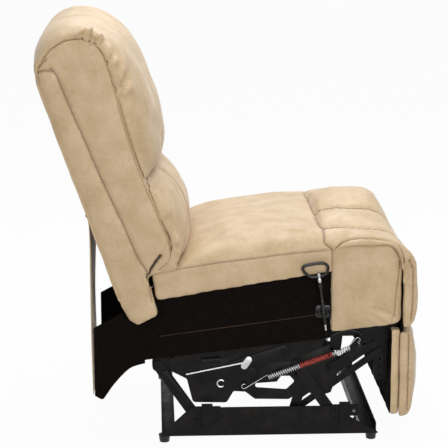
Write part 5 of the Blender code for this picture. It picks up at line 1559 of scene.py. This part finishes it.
class RECLINER_OT_mechanism_trim(bpy.types.Operator):
    """Adds the seat mechanism's rods, arms, clips, plates, bosses and staples"""

    bl_idname = "recliner.mechanism_trim"
    bl_label = "Mechanism trim"

    def execute(self, context):
        for word, side in SIDES:
            out = (0, side, 0)
            rod = wire("rod", [Vector((x, side * ROD_LAYER, z)) for x, z in LOCKING_ROD], radius=0.0022, sides=10)
            outline = bar_outline((0.031, 0.187), (0.041, 0.202), 0.008, 0.008)
            tab = flat_plate("tab", outline, TAB_FACE, TAB_OUTER, side)
            fit(join(f"locking_rod_{word}", [rod, tab]), "carriage", "bright_zinc")
            outline = bar_outline((0.000, 0.172), (0.122, 0.221), 0.024, 0.015)
            arm = flat_plate("arm", outline, ARM_FACE, ARM_OUTER, side)
            boss = turned("boss", BOSS_SHAPE)
            place = Matrix.Translation((BOSS_CENTRE[0], side * ARM_FACE, BOSS_CENTRE[1]))
            boss.data.transform(place @ upright(out))
            fit(join(f"latch_arm_{word}", [arm, boss]), "carriage", "black_enamel")
            plates = [flat_plate("plate", each, PLATE_FACE, PLATE_OUTER, side, edge=0.0002) for each in COVER_PLATES]
            fit(join(f"cover_plates_{word}", plates), "carriage", "black_enamel")
            arc = smooth_path([(x, side * ROD_LAYER, z) for x, z in LATCH_ARC])
            arc = wire(f"latch_arc_{word}", arc, radius=0.0024, sides=10)
            fit(arc, "carriage", "gloss_plastic")
            outline = bar_outline(REAR_BASE.lerp(REAR_TOP, 0.25), REAR_BASE.lerp(REAR_TOP, 0.82), 0.0105, 0.0105)
            channel = flat_plate(f"link_channel_{word}", outline, CHANNEL_FACE, CHANNEL_OUTER, side, edge=0.0015)
            fit(channel, "rear_links", "black_enamel")
            line = [Vector((x, side * BUSH_LAYER, z)) for x, z in LATCH_BUSH]
            fit(wire(f"latch_bush_{word}", line, radius=0.0075, sides=16), "carriage", "black_enamel")
            x, z = CLIP_CENTRE
            ring = [Vector((x + CLIP_RADIUS * cos(turn), side * CLIP_LAYER, z + CLIP_RADIUS * sin(turn)))
                    for turn in (radians(40 + 14 * i) for i in range(21))]
            clip = wire(f"retaining_clip_{word}", ring, radius=0.0019)
            fit(clip, "carriage", "bright_zinc")
            spots = [((x, side * y, z), out) for x, z, y in RIVETS]
            rivet = turned("rivet", RIVET_SHAPE, sides=16)
            fittings(f"mechanism_rivets_{word}", rivet, spots, "carriage", "black_enamel")
            (x, z), (ahead, up) = STAPLE_LINE
            shares = [i / STAPLES for i in range(STAPLES + 1)]
            spots = [((x + ahead * share, side * PANEL_FACE, z + up * share), out) for share in shares]
            staple = turned("staple", STAPLE_SHAPE, sides=6)
            fittings(f"panel_staples_{word}", staple, spots, "carriage", "brown_thread", "spring_wire")
        return {"FINISHED"}


class RECLINER_OT_base_trim(bpy.types.Operator):
    """Adds the rivets of the base's brackets"""

    bl_idname = "recliner.base_trim"
    bl_label = "Base trim"

    def execute(self, context):
        spots = []
        for word, side in SIDES:
            for end in ("rear", "front"):
                low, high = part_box(f"rail_bracket_{end}_{word}")
                outer = max(abs(low.y), abs(high.y))
                for x in (low.x + 0.008, high.x - 0.008):
                    spots.append(((x, side * (outer - 0.0070), (low.z + high.z) / 2 - 0.012), (0, side, 0)))
        rivet = turned("rivet", BASE_RIVET_SHAPE, sides=14)
        fittings("bracket_rivets", rivet, spots, "base", "black_enamel")
        return {"FINISHED"}


class RECLINER_OT_stage(bpy.types.Operator):
    """Sets the pale floor, the studio lamps and the camera"""

    bl_idname = "recliner.stage"
    bl_label = "Stage"

    def unlit_share(self, tree):
        """1 for rays that see the backdrop itself and 0 for those that light the chair."""
        path = add_node(tree, "ShaderNodeLightPath")
        first = add_node(tree, "ShaderNodeMath", {
            0: path.outputs["Is Camera Ray"], 1: path.outputs["Is Glossy Ray"]}, operation="MAXIMUM")
        return add_node(tree, "ShaderNodeMath", {
            0: first.outputs[0], 1: path.outputs["Is Transmission Ray"]}, operation="MAXIMUM").outputs[0]

    def lamp(self, name, power):
        """One soft lamp of the studio."""
        place, aim, size, colour = LAMPS[name]
        data = bpy.data.lights.new(name, "AREA")
        data.color = colour
        data.energy = power
        data.size = size
        lamp = bpy.data.objects.new(name, data)
        bpy.context.scene.collection.objects.link(lamp)
        lamp.location = place
        lamp.rotation_mode = "QUATERNION"
        lamp.rotation_quaternion = (Vector(aim) - Vector(place)).to_track_quat("-Z", "Y")

    def execute(self, context):
        scene = context.scene
        studio = scene.recliner_studio
        scene.view_settings.view_transform = "Standard"
        scene.world = bpy.data.worlds.new("Studio")
        scene.world.use_nodes = True
        tree = scene.world.node_tree
        strength = add_node(tree, "ShaderNodeMapRange", {
            "Value": self.unlit_share(tree), "To Min": studio.sky, "To Max": 1.0})
        background = tree.nodes["Background"]
        background.inputs["Color"].default_value = (1.0, 1.0, 1.0, 1.0)
        tree.links.new(strength.outputs["Result"], background.inputs["Strength"])

        bpy.ops.object.select_all(action="DESELECT")
        bpy.ops.mesh.primitive_plane_add(size=60.0)
        floor = bpy.context.object
        floor.name = "studio_floor"
        tree, shader = blank("pale_floor", 0.9)
        shader.inputs["Base Color"].default_value = (*studio.floor, 1.0)
        shader.inputs["Specular IOR Level"].default_value = 0.0
        glow = add_node(tree, "ShaderNodeEmission", {"Color": (1.0, 1.0, 1.0, 1.0), "Strength": 1.0})
        share = add_node(tree, "ShaderNodeMath", {0: self.unlit_share(tree), 1: 0.96}, operation="MULTIPLY")
        mix = add_node(tree, "ShaderNodeMixShader", {"Fac": share.outputs[0]})
        tree.links.new(shader.outputs["BSDF"], mix.inputs[1])
        tree.links.new(glow.outputs["Emission"], mix.inputs[2])
        tree.links.new(mix.outputs["Shader"], tree.nodes["Material Output"].inputs["Surface"])
        floor.data.materials.append(bpy.data.materials["pale_floor"])

        for name in LAMPS:
            self.lamp(name, getattr(studio, name))

        data = bpy.data.cameras.new("camera")
        data.lens = studio.lens
        data.sensor_width = 36
        camera = bpy.data.objects.new("camera", data)
        scene.collection.objects.link(camera)
        camera.location = studio.eye
        camera.rotation_mode = "QUATERNION"
        camera.rotation_quaternion = Vector(studio.sight).to_track_quat("-Z", "Y")
        scene.camera = camera
        return {"FINISHED"}


GROUPS = (
    (LeatherFinish, "recliner_leather"), (Sewing, "recliner_sewing"), (Hardware, "recliner_hardware"),
    (Studio, "recliner_studio"),
)
OPERATORS = (
    RECLINER_OT_finishes, RECLINER_OT_back_cover, RECLINER_OT_back_pillows, RECLINER_OT_seat_cover,
    RECLINER_OT_chaise_cover, RECLINER_OT_ottoman_cover, RECLINER_OT_front_box, RECLINER_OT_loose_cloth,
    RECLINER_OT_release, RECLINER_OT_return_spring, RECLINER_OT_mechanism_trim, RECLINER_OT_base_trim,
    RECLINER_OT_stage,
)


class RECLINER_PT_sidebar(bpy.types.Panel):
    """Lists the recliner's settings and making steps"""

    bl_label = "Armless Recliner"
    bl_idname = "RECLINER_PT_sidebar"
    bl_space_type = "VIEW_3D"
    bl_region_type = "UI"
    bl_category = "Recliner"

    def draw(self, context):
        for group, field in GROUPS:
            box = self.layout.box()
            for name in group.__annotations__:
                box.prop(getattr(context.scene, field), name)
        for operator in OPERATORS:
            self.layout.operator(operator.bl_idname)


def register():
    for group, field in GROUPS:
        bpy.utils.register_class(group)
        setattr(bpy.types.Scene, field, PointerProperty(type=group))
    for kind in (*OPERATORS, RECLINER_PT_sidebar):
        bpy.utils.register_class(kind)


def unregister():
    for kind in (RECLINER_PT_sidebar, *reversed(OPERATORS)):
        bpy.utils.unregister_class(kind)
    for group, field in reversed(GROUPS):
        delattr(bpy.types.Scene, field)
        bpy.utils.unregister_class(group)


def main():
    register()
    bpy.ops.recliner.finishes()
    bpy.ops.recliner.back_cover()
    bpy.ops.recliner.back_pillows()
    bpy.ops.recliner.seat_cover()
    bpy.ops.recliner.chaise_cover()
    bpy.ops.recliner.ottoman_cover()
    bpy.ops.recliner.front_box()
    bpy.ops.recliner.loose_cloth()
    bpy.ops.recliner.release()
    bpy.ops.recliner.return_spring()
    bpy.ops.recliner.mechanism_trim()
    bpy.ops.recliner.base_trim()
    bpy.ops.recliner.stage()


if __name__ == "__main__":
    main()
